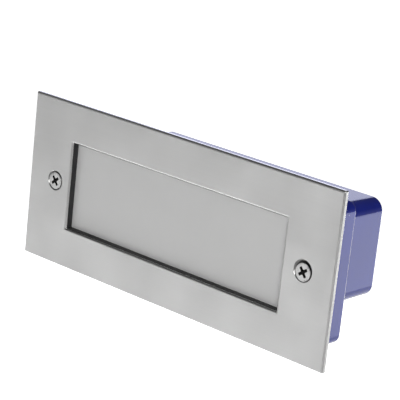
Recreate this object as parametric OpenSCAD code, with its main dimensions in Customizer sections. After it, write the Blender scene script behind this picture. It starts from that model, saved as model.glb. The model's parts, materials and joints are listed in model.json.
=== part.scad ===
// Recessed brick light: steel front plate with a frosted window over a stepped plastic wall box.
// The plate's back face lies in the plane y = 0, which is the face of the wall.
// The room is on the -Y side, the wall on the +Y side, and +Z is up.
// The centre of the window is the point x = 0, z = 0.

/* [Front plate] */
// Width of the front plate
plate_w = 235; // [215:1:260]
// Height of the front plate
plate_h = 100; // [92:1:115]
// Thickness of the front plate
plate_t = 2.5; // [2:0.1:3.5]
// Radius of the plate's outer corners
plate_corner_r = 0.8; // [0.4:0.1:4]
// Steel between the plate's side edge and the window
band_side = 34.2; // [31:0.1:38]
// Steel between the plate's top edge and the window
band_top = 23.3; // [21:0.1:26]
// Radius of the window's corners
window_corner_r = 0.6; // [0.4:0.1:4]
// Radius of the rounded edge round the window
window_edge_r = 1.4; // [0.6:0.1:1.8]

/* [Plate screws] */
// Thread diameter of the plate screws
screw_d = 5; // [4:0.1:5.6]
// Head diameter of the plate screws
screw_head_d = 10.2; // [9:0.1:11.4]
// Length of the plate screws
screw_len = 14; // [12:0.5:16]
// Countersink diameter at the plate's face
sink_d = 12.7; // [11.8:0.1:13.4]
// Turn of the left screw's cross from upright, in degrees
left_cross_turn = 24; // [0:1:89]
// Turn of the right screw's cross from upright, in degrees
right_cross_turn = 20; // [0:1:89]

/* [Glass and its clamp] */
// Thickness of the black gasket between plate and glass
gasket_t = 2; // [1.4:0.1:3]
// How far the gasket's inner edge lies back from the window's edge
gasket_recess = 0.4; // [0.1:0.1:1]
// How far the glass reaches past the window on every side
glass_overlap = 4; // [3.4:0.1:5]
// Thickness of the frosted glass
glass_t = 4; // [3:0.1:5]
// Thickness of the silicone strip behind the glass
backing_t = 0.8; // [0.5:0.1:1.5]
// Thickness of the steel clamp frame
clamp_t = 1.2; // [1:0.1:2]
// Diameter of the weld studs and of the small screws
stud_d = 3; // [2.6:0.1:3.4]
// Width across the flats of the small nuts
nut_af = 5.5; // [5:0.1:6]
// Thickness of the small nuts
nut_t = 2.4; // [1.8:0.1:3]

/* [Wall box] */
// Wall thickness of the plastic box
box_wall = 2.5; // [2:0.1:3.5]
// Depth of the box's wide front section behind the plate
front_d = 18.1; // [17:0.1:24]
// Depth of the whole box behind the plate
deep_d = 45.3; // [42:0.1:60]
// Length of the box's deep section
deep_w = 163.4; // [150:0.1:200]
// Height of the box's deep section
deep_h = 55.4; // [51:0.1:64]
// Step from the front section in to the deep section, at the right and at the top
deep_inset = 2.9; // [1:0.1:4]
// Corner radius of the front section
front_corner_r = 5.5; // [3:0.1:9]
// Corner radius of the deep section
deep_corner_r = 7.4; // [5:0.1:10]
// Draft angle of the deep section's walls, in degrees
draft = 1; // [0.2:0.1:2]
// Thickness of the foam seal between plate and box
seal_t = 1.5; // [1:0.1:3]
// Distance between the two wall fixing holes
fix_spacing = 120; // [100:1:126]
// Diameter of the wall fixing holes
fix_d = 5.2; // [4:0.1:6]

/* [Lamp tray] */
// Thickness of the steel tray
tray_t = 1.2; // [1:0.1:2]
// Thickness of the lamp board
board_t = 1.6; // [1:0.1:2]
// Number of lamp chips along the board
chips_along = 9; // [5:2:11]
// Number of rows of lamp chips
chip_rows = 3; // [1:2:3]
// Length of a lamp chip
chip_w = 3.5; // [2:0.1:5]
// Height of a lamp chip
chip_h = 2.8; // [2:0.1:5]
// Thickness of a lamp chip
chip_t = 0.7; // [0.4:0.1:1.5]

/* [Driver and terminals] */
// Length of the driver's case
driver_w = 50; // [40:0.5:58]
// Height of the driver's case
driver_h = 34; // [28:0.5:44]
// Depth of the driver's case
driver_t = 22; // [18:0.5:25]
// Wall thickness of the driver's case
driver_wall = 1.6; // [1.2:0.1:2.2]
// Distance from pole to pole of the terminal block
pole_pitch = 10; // [9:0.1:11]
// Length of the terminal block along its wires
terminal_len = 18; // [16:0.5:20]
// Outer diameter of the inner leads
lead_d = 1.8; // [1.2:0.1:2.2]

/* [Cable gland] */
// Thread diameter of the cable gland
gland_d = 16; // [14:0.5:17]
// Bore of the gland's rubber seal
cable_d = 7; // [5:0.1:8]

/* [Hidden] */
$fn = 64;

// Clearances and overruns
cut = 1;
bond = 0.5;
seat_gap = 0.1;
run_gap = 0.06;
press_gap = 0.02;
part_gap = 0.3;
hull_fn = 32;
slice_t = 0.02;

// Window, glass and clamp
window_w = plate_w - 2 * band_side;
window_h = plate_h - 2 * band_top;
glass_w = window_w + 2 * glass_overlap;
glass_h = window_h + 2 * glass_overlap;
glass_corner_r = 1.5;
glass_front_y = gasket_t;
glass_back_y = glass_front_y + glass_t;
clamp_front_y = glass_back_y + backing_t;
clamp_back_y = clamp_front_y + clamp_t;
edge_steps = 3;
stud_r = stud_d / 2;
nut_r = nut_af / 2 / cos(30);
stud_glass_gap = 1.25;
stud_end_inset = 7.3;
stud_proud = 0.6;
stud_x = glass_w / 2 - stud_end_inset;
stud_z = glass_h / 2 + stud_glass_gap + stud_r;
stud_tip_y = clamp_back_y + nut_t + stud_proud;
stud_places = [for (x = [-stud_x, 0, stud_x], z = [-stud_z, stud_z]) [x, z]];
clamp_side_lip = 1.4;
clamp_top_lip = 3;
clamp_w = glass_w + 2 * clamp_side_lip;
clamp_h = 2 * (stud_z + clamp_top_lip);

// Plate screws
boss_r = 6;
boss_frame_gap = 1.5;
screw_x = clamp_w / 2 + boss_frame_gap + boss_r;
head_rim_t = 0.2;
head_cone_y = -plate_t + (sink_d - screw_head_d) / 2 - seat_gap;
head_top_y = head_cone_y - head_rim_t;
head_end_y = head_cone_y + (screw_head_d - screw_d) / 2;
screw_tip_y = head_top_y + screw_len;
thread_pitch = 0.8;
thread_depth = 0.45;
thread_start_gap = 1.2;
cross_len_share = 0.6;
cross_width_share = 0.13;
cross_depth_share = 0.2;
seal_ring_end_y = head_end_y + seal_t;

// Wall box
boss_side_gap = 6.6;
box_in_w = 2 * (screw_x + boss_r + boss_side_gap);
nut_wall_gap = 0.5;
box_in_h = 2 * (stud_z + nut_r + nut_wall_gap);
box_w = box_in_w + 2 * box_wall;
box_h = box_in_h + 2 * box_wall;
rim_y = seal_t + seat_gap;
floor_y = front_d - box_wall;
deep_floor_y = deep_d - box_wall;
front_edge_r = 1.2;
deep_edge_r = 2.5;
deep_cx = box_w / 2 - deep_inset - deep_w / 2;
deep_cz = box_h / 2 - deep_inset - deep_h / 2;
deep_in_left = deep_cx - deep_w / 2 + box_wall;
deep_in_right = deep_cx + deep_w / 2 - box_wall;
deep_grow = tan(draft) * (deep_d - floor_y);
boss_top_y = seal_ring_end_y + seat_gap;
insert_r = 3.5;
insert_len = 8;
insert_groove = 0.4;
screw_tip_gap = 1;
rib_t = 2.5;
rib_front_y = boss_top_y + insert_len / 2;
fix_seat_r = fix_d;
fix_seat_t = 1;
knock_r = 10.25;
knock_groove = 0.8;
pip_r = 0.5;
pip_proud = 0.3;
pip_back_gap = 6.8;
pip_top_gap = 6;
pip_y = front_d - pip_back_gap;
pip_z = box_h / 2 - pip_top_gap;

// Foam seal
seal_out = 1.5;
seal_in = 0.3;

// Lamp tray and reflector
tray_lift = 1.2;
tray_edge_gap = 1;
tray_boss_gap = 1.2;
tray_corner_r = 4;
tray_back_y = floor_y - tray_lift;
tray_front_y = tray_back_y - tray_t;
tray_w = 2 * (screw_x - boss_r - tray_boss_gap);
tray_h = box_in_h - 2 * tray_edge_gap;
reflector_lip = 2.3;
reflector_w = window_w + 2 * reflector_lip;
reflector_h = window_h + 2 * reflector_lip;
reflector_front_y = clamp_back_y + part_gap;
reflector_corner_r = 3;
board_side_inset = 8.3;
board_top_inset = 5.7;
board_gap = 0.75;
board_w = window_w - 2 * board_side_inset;
board_h = window_h - 2 * board_top_inset;
board_front_y = tray_front_y - board_t;
peg_r = 1.5;
peg_gap = 0.1;
peg_head_r = 2.4;
peg_head_t = 0.6;
peg_x = (reflector_w + board_w + 2 * board_gap) / 4;
peg_z = (reflector_h + board_h + 2 * board_gap) / 4;
pan_head_r = 2.8;
pan_head_t = 1.8;
pan_slot_share = 0.55;
tray_screw_len = 6;
tray_screw_gap = 0.5;
tray_screw_inset = 11;
tray_screw_x = board_w / 2 - tray_screw_inset;
tray_screw_z = reflector_h / 2 + tray_screw_gap + pan_head_r;
tray_screw_places = [for (x = [-tray_screw_x, tray_screw_x], z = [-tray_screw_z, tray_screw_z]) [x, z]];
tray_boss_r = 3.5;
tray_tip_y = tray_front_y + tray_screw_len;
tray_stub_end_y = tray_tip_y + part_gap + box_wall;
board_screw_inset = [5, 4];
board_screw_x = board_w / 2 - board_screw_inset[0];
board_screw_z = board_h / 2 - board_screw_inset[1];
board_tip_y = tray_back_y + peg_head_t;
chip_edge = 11;
chip_row_edge = 8;
chip_pitch_x = (board_w - 2 * chip_edge) / (chips_along - 1);
chip_pitch_z = (board_h - 2 * chip_row_edge) / max(chip_rows - 1, 1);
chip_lens_share = 0.76;

// Gear on the back of the tray
gear_cz = deep_cz;
wiring_gap = 14;
terminal_x0 = deep_in_left + wiring_gap;
terminal_x1 = terminal_x0 + terminal_len;
terminal_cx = (terminal_x0 + terminal_x1) / 2;
terminal_h = 3 * pole_pitch;
terminal_base_t = 9;
terminal_tower_t = 4;
terminal_tower_share = 0.74;
terminal_bore_r = 2.5;
terminal_wire_r = 1.5;
terminal_axis_share = 0.51;
terminal_axis_y = tray_back_y + terminal_base_t * terminal_axis_share;
terminal_top_y = tray_back_y + terminal_base_t + terminal_tower_t;
terminal_screw_step_share = 0.24;
clamp_inset = 1.5;
pole_places = [for (i = [-1, 0, 1]) gear_cz + i * pole_pitch];
ear_len = 7;
ear_t = 2.4;
ear_w = 9;
gear_stud_tip_y = tray_back_y + ear_t + nut_t + stud_proud;
lead_run = 20;
driver_x0 = terminal_x1 + lead_run;
driver_x1 = driver_x0 + driver_w;
driver_cx = (driver_x0 + driver_x1) / 2;
driver_back_y = tray_back_y + driver_t;
driver_split_share = 0.62;
driver_split_y = tray_back_y + driver_t * driver_split_share;
driver_corner_r = 2.5;
lid_lip_t = 1;
lid_lip_len = 2;
pcb_t = 1.2;
pcb_lift = 3;
pcb_edge_gap = 0.5;
post_r = 2;
pcb_front_y = tray_back_y + driver_wall + pcb_lift;
pcb_back_y = pcb_front_y + pcb_t;
transformer_shares = [0.28, 0.32, 0.45];
bobbin_share = 0.6;
can_radius_share = 0.08;
can_height_share = 0.45;
gear_ear_places = [[terminal_cx, gear_cz - terminal_h / 2 - ear_len / 2],
                   [terminal_cx, gear_cz + terminal_h / 2 + ear_len / 2],
                   [driver_x0 - ear_len / 2, gear_cz],
                   [driver_x1 + ear_len / 2, gear_cz]];

// Leads
lead_r = lead_d / 2;
lead_sides = 8;
lead_tail = 5;
lead_y = pcb_back_y + lead_r + seat_gap;
lead_hole_gap = 0.25;
level_end_share = 0.3;
lead_bend_r = 5;
lead_step = 4;
led_lead_places = [gear_cz - lead_step / 2, gear_cz + lead_step / 2];
mains_lead_step = 16;
grommet_wall = 1;
grommet_r = lead_r + lead_hole_gap + grommet_wall;
grommet_flange = 1.2;
grommet_flange_t = 0.5;
solder_r = 1.3;
solder_t = 0.6;
solder_gap = 0.5;
chips_end_x = board_w / 2 - chip_edge + chip_w / 2;
lead_drop_x = max(chips_end_x + solder_gap + solder_r,
                  driver_x1 + ear_len + lead_bend_r + seat_gap);

// Cable gland
gland_r = gland_d / 2;
gland_y = (front_d + deep_d) / 2;
gland_z = gear_cz;
gland_pad_r = 12.2;
gland_pad_t = 1;
gland_pad_x = deep_cx - deep_w / 2 - deep_grow - gland_pad_t;
gland_washer_t = 1.5;
gland_flange_t = 5;
gland_flange_af = 20;
gland_neck_step = 0.7;
gland_neck_r = gland_r - gland_neck_step;
gland_neck_len = 9;
gland_wall = 3.4;
gland_bore_r = gland_r - gland_wall;
gland_locknut_t = 4;
gland_spigot_tail = 2;
gland_nut_af = 19;
gland_nut_len = 13;
gland_dome_len = 4.5;
gland_dome_r = 6.4;
gland_mouth_gap = 0.9;
gland_mouth_r = cable_d / 2 + gland_mouth_gap;
gland_neck_wall = 1.8;
gland_seal_r = gland_neck_r - gland_neck_wall;
gland_seal_len = 12;
gland_seal_proud = 2.5;
gland_flange_x = gland_pad_x - gland_washer_t - gland_flange_t;
gland_neck_x = gland_flange_x - gland_neck_len;
gland_nut_x = gland_flange_x - part_gap;

// A flat outline with rounded corners
module rounded_outline(w, h, r) {
    square([w - 2 * r, h], center = true);
    square([w, h - 2 * r], center = true);
    for (sx = [-1, 1], sz = [-1, 1])
        translate([sx * (w / 2 - r), sz * (h / 2 - r)])
            circle(r);
}

// A slab with rounded corners, w along X and h along Z, from y0 back to y1
module slab(w, h, r, y0, y1, cx = 0, cz = 0) {
    translate([cx, y1, cz])
        rotate([90, 0, 0])
            linear_extrude(y1 - y0)
                rounded_outline(w, h, r);
}

// A slot with round ends, as long as step plus its own width along Z, from y0 back to y1
module slot_y(r, step, y0, y1, cx, cz) {
    rod_y(r, y0, y1, cx, cz - step / 2);
    rod_y(r, y0, y1, cx, cz + step / 2);
    block([cx - r, y0, cz - step / 2], [cx + r, y1, cz + step / 2]);
}

// A plain block between two corners
module block(low, high) {
    translate(low)
        cube(high - low);
}

// A round bar along Y
module rod_y(r, y0, y1, x = 0, z = 0) {
    translate([x, y0, z])
        rotate([-90, 0, 0])
            cylinder(h = y1 - y0, r = r);
}

// A round bar along X
module rod_x(r, x0, x1, y = 0, z = 0) {
    translate([x0, y, z])
        rotate([0, 90, 0])
            cylinder(h = x1 - x0, r = r);
}

// A turned piece about an axis along Y, from points of radius and y
module turned_y(points, x = 0, z = 0) {
    translate([x, 0, z])
        rotate([-90, 0, 0])
            rotate_extrude()
                polygon(points);
}

// A turned piece about the gland's axis, from points of radius and x
module turned_gland(points) {
    translate([0, gland_y, gland_z])
        rotate([0, 90, 0])
            rotate_extrude()
                polygon(points);
}

// A hexagonal bar along Y
module hex_y(af, y0, y1, x, z) {
    translate([x, y0, z])
        rotate([-90, 0, 0])
            cylinder(h = y1 - y0, r = af / 2 / cos(30), $fn = 6);
}

// A hexagonal bar along the gland's axis
module hex_gland(af, x0, x1) {
    translate([x0, gland_y, gland_z])
        rotate([0, 90, 0])
            cylinder(h = x1 - x0, r = af / 2 / cos(30), $fn = 6);
}

// A small hexagonal nut on a stud, with its front face at y0
module small_nut(x, z, y0) {
    difference() {
        hex_y(nut_af, y0, y0 + nut_t, x, z);
        rod_y(stud_r + press_gap, y0 - cut, y0 + nut_t + cut, x, z);
    }
}

// A small pan head screw driven from the front, with the head's seat at y = seat_y
module pan_screw(x, z, seat_y, tip_y) {
    difference() {
        union() {
            rod_y(pan_head_r, seat_y - pan_head_t, seat_y, x, z);
            rod_y(stud_r, seat_y - bond, tip_y, x, z);
        }
        for (turn = [0, 90])
            translate([x, seat_y - pan_head_t, z])
                rotate([0, turn, 0])
                    cube([2 * pan_head_r * cross_len_share, pan_head_t * pan_slot_share * 2,
                          2 * pan_head_r * cross_width_share], center = true);
    }
}

// The outline of a thread's half section: crests at r, roots thread_depth further in
function thread_points(r, y0, y1) =
    let (turns = floor((y1 - y0) / thread_pitch), pitch = (y1 - y0) / turns)
    [for (i = [0 : turns - 1])
        each [[r - thread_depth, y0 + i * pitch], [r, y0 + (i + 1 / 2) * pitch]]];

// The rounded front edge of the window, as a cut that widens towards the room
module window_flare() {
    for (i = [0 : edge_steps - 1])
        hull($fn = hull_fn)
            for (k = [i, i + 1]) {
                a = 90 * k / edge_steps;
                wide = 2 * window_edge_r * (1 - sin(a));
                y = -plate_t + window_edge_r * (1 - cos(a));
                slab(window_w + wide, window_h + wide, window_corner_r + wide / 2,
                     y - slice_t, y + slice_t, $fn = hull_fn);
            }
}

module front_plate() {
    color("silver")
        difference() {
            union() {
                slab(plate_w, plate_h, plate_corner_r, -plate_t, 0);
                for (p = stud_places)
                    rod_y(stud_r, -bond, stud_tip_y, p[0], p[1]);
            }
            slab(window_w, window_h, window_corner_r, -plate_t - cut, cut);
            window_flare();
            for (side = [-1, 1])
                turned_y([[0, -plate_t - cut], [sink_d / 2 + cut, -plate_t - cut],
                          [sink_d / 2 - plate_t - cut, cut], [0, cut]], side * screw_x);
        }
}

// A rectangular frame of one thickness
module flat_frame(w, h, r, opening_w, opening_h, opening_r, y0, y1) {
    difference() {
        slab(w, h, r, y0, y1);
        slab(opening_w, opening_h, opening_r, y0 - cut, y1 + cut);
    }
}

module glass_gasket() {
    color("black")
        flat_frame(glass_w, glass_h, glass_corner_r, window_w + 2 * gasket_recess,
                   window_h + 2 * gasket_recess, window_corner_r, 0, gasket_t);
}

module diffuser_glass() {
    color("gainsboro")
        slab(glass_w, glass_h, glass_corner_r, glass_front_y, glass_back_y);
}

module glass_backing() {
    color("white")
        flat_frame(glass_w, glass_h, glass_corner_r, window_w, window_h, window_corner_r,
                   glass_back_y, clamp_front_y);
}

module clamp_frame() {
    color("lightgray")
        difference() {
            flat_frame(clamp_w, clamp_h, glass_corner_r, window_w, window_h, window_corner_r,
                       clamp_front_y, clamp_back_y);
            for (p = stud_places)
                rod_y(stud_r + press_gap, clamp_front_y - cut, clamp_back_y + cut, p[0], p[1]);
        }
}

module clamp_nuts() {
    color("lightgray")
        for (p = stud_places)
            small_nut(p[0], p[1], clamp_back_y);
}

module plate_seal() {
    color("black")
        flat_frame(box_w + 2 * seal_out, box_h + 2 * seal_out, front_corner_r + seal_out,
                   box_in_w - 2 * seal_in, box_in_h - 2 * seal_in, front_corner_r - box_wall,
                   0, seal_t);
}

// Rubber rings round the plate screws, between the plate and the bosses
module screw_seals() {
    back_hole_r = sink_d / 2 - plate_t;
    color("dimgray")
        for (side = [-1, 1])
            turned_y([[back_hole_r + part_gap, 0], [boss_r, 0], [boss_r, seal_ring_end_y],
                      [screw_d / 2 + run_gap, seal_ring_end_y], [screw_d / 2 + run_gap, head_end_y]],
                     side * screw_x);
}

// A countersunk cross head screw
module plate_screw(side, turn) {
    thread_y = head_end_y + thread_start_gap;
    difference() {
        turned_y(concat([[0, head_top_y], [screw_head_d / 2, head_top_y],
                         [screw_head_d / 2, head_cone_y], [screw_d / 2, head_end_y],
                         [screw_d / 2, thread_y]],
                        thread_points(screw_d / 2, thread_y, screw_tip_y - thread_depth),
                        [[screw_d / 2 - thread_depth, screw_tip_y - thread_depth],
                         [screw_d / 2 - 2 * thread_depth, screw_tip_y], [0, screw_tip_y]]),
                 side * screw_x);
        for (arm = [0, 90])
            translate([side * screw_x, head_top_y, 0])
                rotate([0, turn + arm, 0])
                    cube([screw_head_d * cross_len_share, 2 * screw_head_d * cross_depth_share,
                          screw_head_d * cross_width_share], center = true);
    }
}

module plate_screw_left() {
    color("lightsteelblue")
        plate_screw(-1, left_cross_turn);
}

module plate_screw_right() {
    color("lightsteelblue")
        plate_screw(1, right_cross_turn);
}

// A box section that grows from y1 forward by the draft and has a rounded back edge
module moulded_section(w, h, r, edge_r, y0, y1, grow, cx = 0, cz = 0) {
    side_end_y = grow > 0 ? y0 + slice_t : y1 - edge_r;
    hull($fn = hull_fn) {
        slab(w + 2 * grow, h + 2 * grow, r + grow, y0, side_end_y, cx, cz, $fn = hull_fn);
        for (k = [grow > 0 ? 0 : 1 : edge_steps]) {
            a = 90 * k / edge_steps;
            in = edge_r * (1 - cos(a));
            y = y1 - edge_r * (1 - sin(a));
            slab(w - 2 * in, h - 2 * in, r - in, y - slice_t, y, cx, cz, $fn = hull_fn);
        }
    }
}

// The solid posts and ribs inside the wall box
module box_posts() {
    rod_y(boss_r, boss_top_y, floor_y + bond, -screw_x);
    block([-box_in_w / 2 - bond, rib_front_y, -rib_t / 2], [-screw_x, floor_y + bond, rib_t / 2]);
    rod_y(boss_r, boss_top_y, deep_floor_y + bond, screw_x);
    block([screw_x, rib_front_y, -rib_t / 2], [box_in_w / 2 + bond, floor_y + bond, rib_t / 2]);
    block([screw_x, floor_y, -rib_t / 2], [deep_in_right + bond, deep_floor_y + bond, rib_t / 2]);
    for (p = tray_screw_places) {
        in_deep = p[0] > 0 && p[1] > 0;
        rod_y(tray_boss_r, tray_back_y + seat_gap, in_deep ? deep_floor_y + bond : tray_stub_end_y,
              p[0], p[1]);
    }
    for (side = [-1, 1])
        rod_y(fix_seat_r, deep_floor_y - fix_seat_t, deep_floor_y + bond,
              deep_cx + side * fix_spacing / 2, deep_cz);
}

// A ring groove that marks a knock-out
module knock_ring(depth) {
    difference() {
        cylinder(h = depth + cut, r = knock_r);
        translate([0, 0, -cut])
            cylinder(h = depth + 3 * cut, r = knock_r - knock_groove);
    }
}

module recess_box() {
    color("midnightblue")
        difference() {
            union() {
                difference() {
                    union() {
                        moulded_section(box_w, box_h, front_corner_r, front_edge_r,
                                        rim_y, front_d, 0);
                        moulded_section(deep_w, deep_h, deep_corner_r, deep_edge_r,
                                        floor_y, deep_d, deep_grow, deep_cx, deep_cz);
                        rod_x(gland_pad_r, gland_pad_x, deep_in_left, gland_y, gland_z);
                        rod_x(pip_r, box_w / 2 - bond, box_w / 2 + pip_proud, pip_y, pip_z);
                    }
                    slab(box_in_w, box_in_h, front_corner_r - box_wall, rim_y - cut, floor_y);
                    slab(deep_w - 2 * box_wall, deep_h - 2 * box_wall, deep_corner_r - box_wall,
                         floor_y - cut, deep_floor_y, deep_cx, deep_cz);
                }
                box_posts();
            }
            for (side = [-1, 1]) {
                rod_y(insert_r + press_gap, boss_top_y - cut, boss_top_y + insert_len,
                      side * screw_x);
                rod_y(screw_d / 2 + part_gap, boss_top_y, screw_tip_y + screw_tip_gap,
                      side * screw_x);
                rod_y(fix_d / 2, deep_floor_y - fix_seat_t - cut, deep_d + cut,
                      deep_cx + side * fix_spacing / 2, deep_cz);
            }
            for (p = tray_screw_places)
                rod_y(stud_r + run_gap, tray_back_y - cut, tray_tip_y + part_gap, p[0], p[1]);
            rod_x(gland_r + seat_gap, gland_pad_x - cut, deep_in_left + cut, gland_y, gland_z);
            translate([deep_cx, deep_d - knock_groove, deep_cz])
                rotate([-90, 0, 0])
                    knock_ring(knock_groove);
            translate([deep_cx, gland_y, deep_cz - deep_h / 2 - deep_grow + knock_groove])
                rotate([180, 0, 0])
                    knock_ring(knock_groove);
        }
}

// Threaded brass bushes moulded into the two screw bosses
module screw_inserts() {
    groove_y = boss_top_y + insert_len / 2;
    bore_r = screw_d / 2 + run_gap;
    color("goldenrod")
        for (side = [-1, 1])
            turned_y([[bore_r, boss_top_y], [insert_r, boss_top_y],
                      [insert_r, groove_y - insert_groove], [insert_r - insert_groove, groove_y],
                      [insert_r, groove_y + insert_groove], [insert_r, boss_top_y + insert_len],
                      [bore_r, boss_top_y + insert_len]], side * screw_x);
}

module gland_body() {
    spigot_end_x = deep_in_left + gland_locknut_t + gland_spigot_tail;
    flange_back_x = gland_pad_x - gland_washer_t;
    pocket_x = gland_neck_x + gland_seal_len - gland_seal_proud;
    color("dimgray")
        difference() {
            union() {
                rod_x(gland_r, flange_back_x - bond, spigot_end_x, gland_y, gland_z);
                hex_gland(gland_flange_af, gland_flange_x, flange_back_x);
                rod_x(gland_neck_r, gland_neck_x, gland_flange_x + bond, gland_y, gland_z);
            }
            rod_x(gland_bore_r, gland_neck_x - cut, spigot_end_x + cut, gland_y, gland_z);
            rod_x(gland_seal_r + press_gap, gland_neck_x - cut, pocket_x, gland_y, gland_z);
        }
}

module gland_washer() {
    color("black")
        difference() {
            rod_x(gland_flange_af / 2, gland_pad_x - gland_washer_t, gland_pad_x, gland_y, gland_z);
            rod_x(gland_r + press_gap, gland_pad_x - gland_washer_t - cut, gland_pad_x + cut,
                  gland_y, gland_z);
        }
}

module gland_locknut() {
    color("dimgray")
        difference() {
            hex_gland(gland_nut_af, deep_in_left, deep_in_left + gland_locknut_t);
            rod_x(gland_r + press_gap, deep_in_left - cut, deep_in_left + gland_locknut_t + cut,
                  gland_y, gland_z);
        }
}

// The rubber sleeve that grips the cable
module gland_seal() {
    front_x = gland_neck_x - gland_seal_proud;
    color("black")
        turned_gland([[cable_d / 2, front_x], [gland_seal_r - gland_seal_proud / 2, front_x],
                      [gland_seal_r, gland_neck_x], [gland_seal_r, front_x + gland_seal_len],
                      [cable_d / 2, front_x + gland_seal_len]]);
}

module gland_nut() {
    dome_x = gland_nut_x - gland_nut_len;
    color("dimgray")
        difference() {
            union() {
                hex_gland(gland_nut_af, dome_x, gland_nut_x);
                turned_gland([[0, dome_x - gland_dome_len], [gland_dome_r, dome_x - gland_dome_len],
                              [gland_nut_af / 2, dome_x], [gland_nut_af / 2, dome_x + bond],
                              [0, dome_x + bond]]);
            }
            rod_x(gland_neck_r + run_gap, dome_x, gland_nut_x + cut, gland_y, gland_z);
            rod_x(gland_mouth_r, dome_x - gland_dome_len - cut, dome_x + cut, gland_y, gland_z);
        }
}

// The steel plate that carries the lamp board in front and the gear behind
module lamp_tray() {
    color("gainsboro")
        difference() {
            union() {
                slab(tray_w, tray_h, tray_corner_r, tray_front_y, tray_back_y);
                for (p = gear_ear_places)
                    rod_y(stud_r, tray_front_y, gear_stud_tip_y, p[0], p[1]);
            }
            for (p = tray_screw_places)
                rod_y(stud_r + run_gap, tray_front_y - cut, tray_back_y + cut, p[0], p[1]);
            for (x = [-peg_x, peg_x], z = [-peg_z, peg_z])
                rod_y(peg_r + peg_gap, tray_front_y - cut, tray_back_y + cut, x, z);
            for (x = [-board_screw_x, board_screw_x], z = [-board_screw_z, board_screw_z])
                rod_y(stud_r + press_gap, tray_front_y - cut, tray_back_y + cut, x, z);
            slot_y(grommet_r + press_gap, lead_step, tray_front_y - cut, tray_back_y + cut,
                   lead_drop_x, gear_cz);
        }
}

module tray_screws() {
    color("silver")
        for (p = tray_screw_places)
            pan_screw(p[0], p[1], tray_front_y, tray_tip_y);
}

// The white frame that leads the light from the board to the window
module reflector() {
    color("white") {
        difference() {
            slab(reflector_w, reflector_h, reflector_corner_r, reflector_front_y, tray_front_y);
            hull($fn = hull_fn) {
                slab(window_w, window_h, reflector_corner_r / 2,
                     reflector_front_y - cut, reflector_front_y, $fn = hull_fn);
                slab(board_w + 2 * board_gap, board_h + 2 * board_gap, reflector_corner_r / 2,
                     tray_front_y, tray_front_y + cut, $fn = hull_fn);
            }
        }
        for (x = [-peg_x, peg_x], z = [-peg_z, peg_z]) {
            rod_y(peg_r, tray_front_y - bond, tray_back_y + peg_head_t, x, z);
            rod_y(peg_head_r, tray_back_y, tray_back_y + peg_head_t, x, z);
        }
    }
}

module led_board() {
    color("whitesmoke")
        difference() {
            slab(board_w, board_h, reflector_corner_r / 2, board_front_y, tray_front_y);
            for (x = [-board_screw_x, board_screw_x], z = [-board_screw_z, board_screw_z])
                rod_y(stud_r + run_gap, board_front_y - cut, tray_front_y + cut, x, z);
            for (z = led_lead_places)
                rod_y(lead_r + seat_gap, board_front_y - cut, tray_front_y + cut, lead_drop_x, z);
        }
}

module led_chips() {
    lens_w = chip_w * chip_lens_share;
    lens_h = chip_h * chip_lens_share;
    chip_front_y = board_front_y - chip_t;
    color("khaki")
        for (i = [0 : chips_along - 1], k = [0 : chip_rows - 1]) {
            x = (i - (chips_along - 1) / 2) * chip_pitch_x;
            z = (k - (chip_rows - 1) / 2) * chip_pitch_z;
            difference() {
                block([x - chip_w / 2, chip_front_y, z - chip_h / 2],
                      [x + chip_w / 2, board_front_y, z + chip_h / 2]);
                block([x - lens_w / 2, chip_front_y - cut, z - lens_h / 2],
                      [x + lens_w / 2, board_front_y - chip_t * chip_lens_share, z + lens_h / 2]);
            }
        }
}

module board_screws() {
    color("silver")
        for (x = [-board_screw_x, board_screw_x], z = [-board_screw_z, board_screw_z])
            pan_screw(x, z, board_front_y, board_tip_y);
}

module solder_joints() {
    color("lightgray")
        for (z = led_lead_places)
            turned_y([[0, board_front_y - solder_t], [solder_r / 2, board_front_y - solder_t],
                      [solder_r, board_front_y], [0, board_front_y]], lead_drop_x, z);
}

// A plastic bush that guards the lamp leads in the tray's slot
module lead_grommet() {
    color("white")
        difference() {
            union() {
                slot_y(grommet_r, lead_step, tray_front_y, tray_back_y + grommet_flange_t,
                       lead_drop_x, gear_cz);
                slot_y(grommet_r + grommet_flange, lead_step, tray_back_y,
                       tray_back_y + grommet_flange_t, lead_drop_x, gear_cz);
            }
            slot_y(grommet_r - grommet_wall, lead_step, tray_front_y - cut, tray_back_y + 2 * cut,
                   lead_drop_x, gear_cz);
        }
}

// A fixing ear on the tray with its hole, w along X and h along Z
module fixing_ear(p, w, h) {
    difference() {
        slab(w, h, min(w, h) / 4, tray_back_y, tray_back_y + ear_t, p[0], p[1]);
        rod_y(stud_r + seat_gap, tray_back_y - cut, tray_back_y + ear_t + cut, p[0], p[1]);
    }
}

// Where the four leads pass the end walls of the driver's case
module driver_lead_holes() {
    for (z = [gear_cz - mains_lead_step / 2, gear_cz + mains_lead_step / 2])
        rod_x(lead_r + lead_hole_gap, driver_x0 - cut, driver_x0 + driver_wall + cut, lead_y, z);
    for (z = led_lead_places)
        rod_x(lead_r + lead_hole_gap, driver_x1 - driver_wall - cut, driver_x1 + cut, lead_y, z);
}

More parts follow.
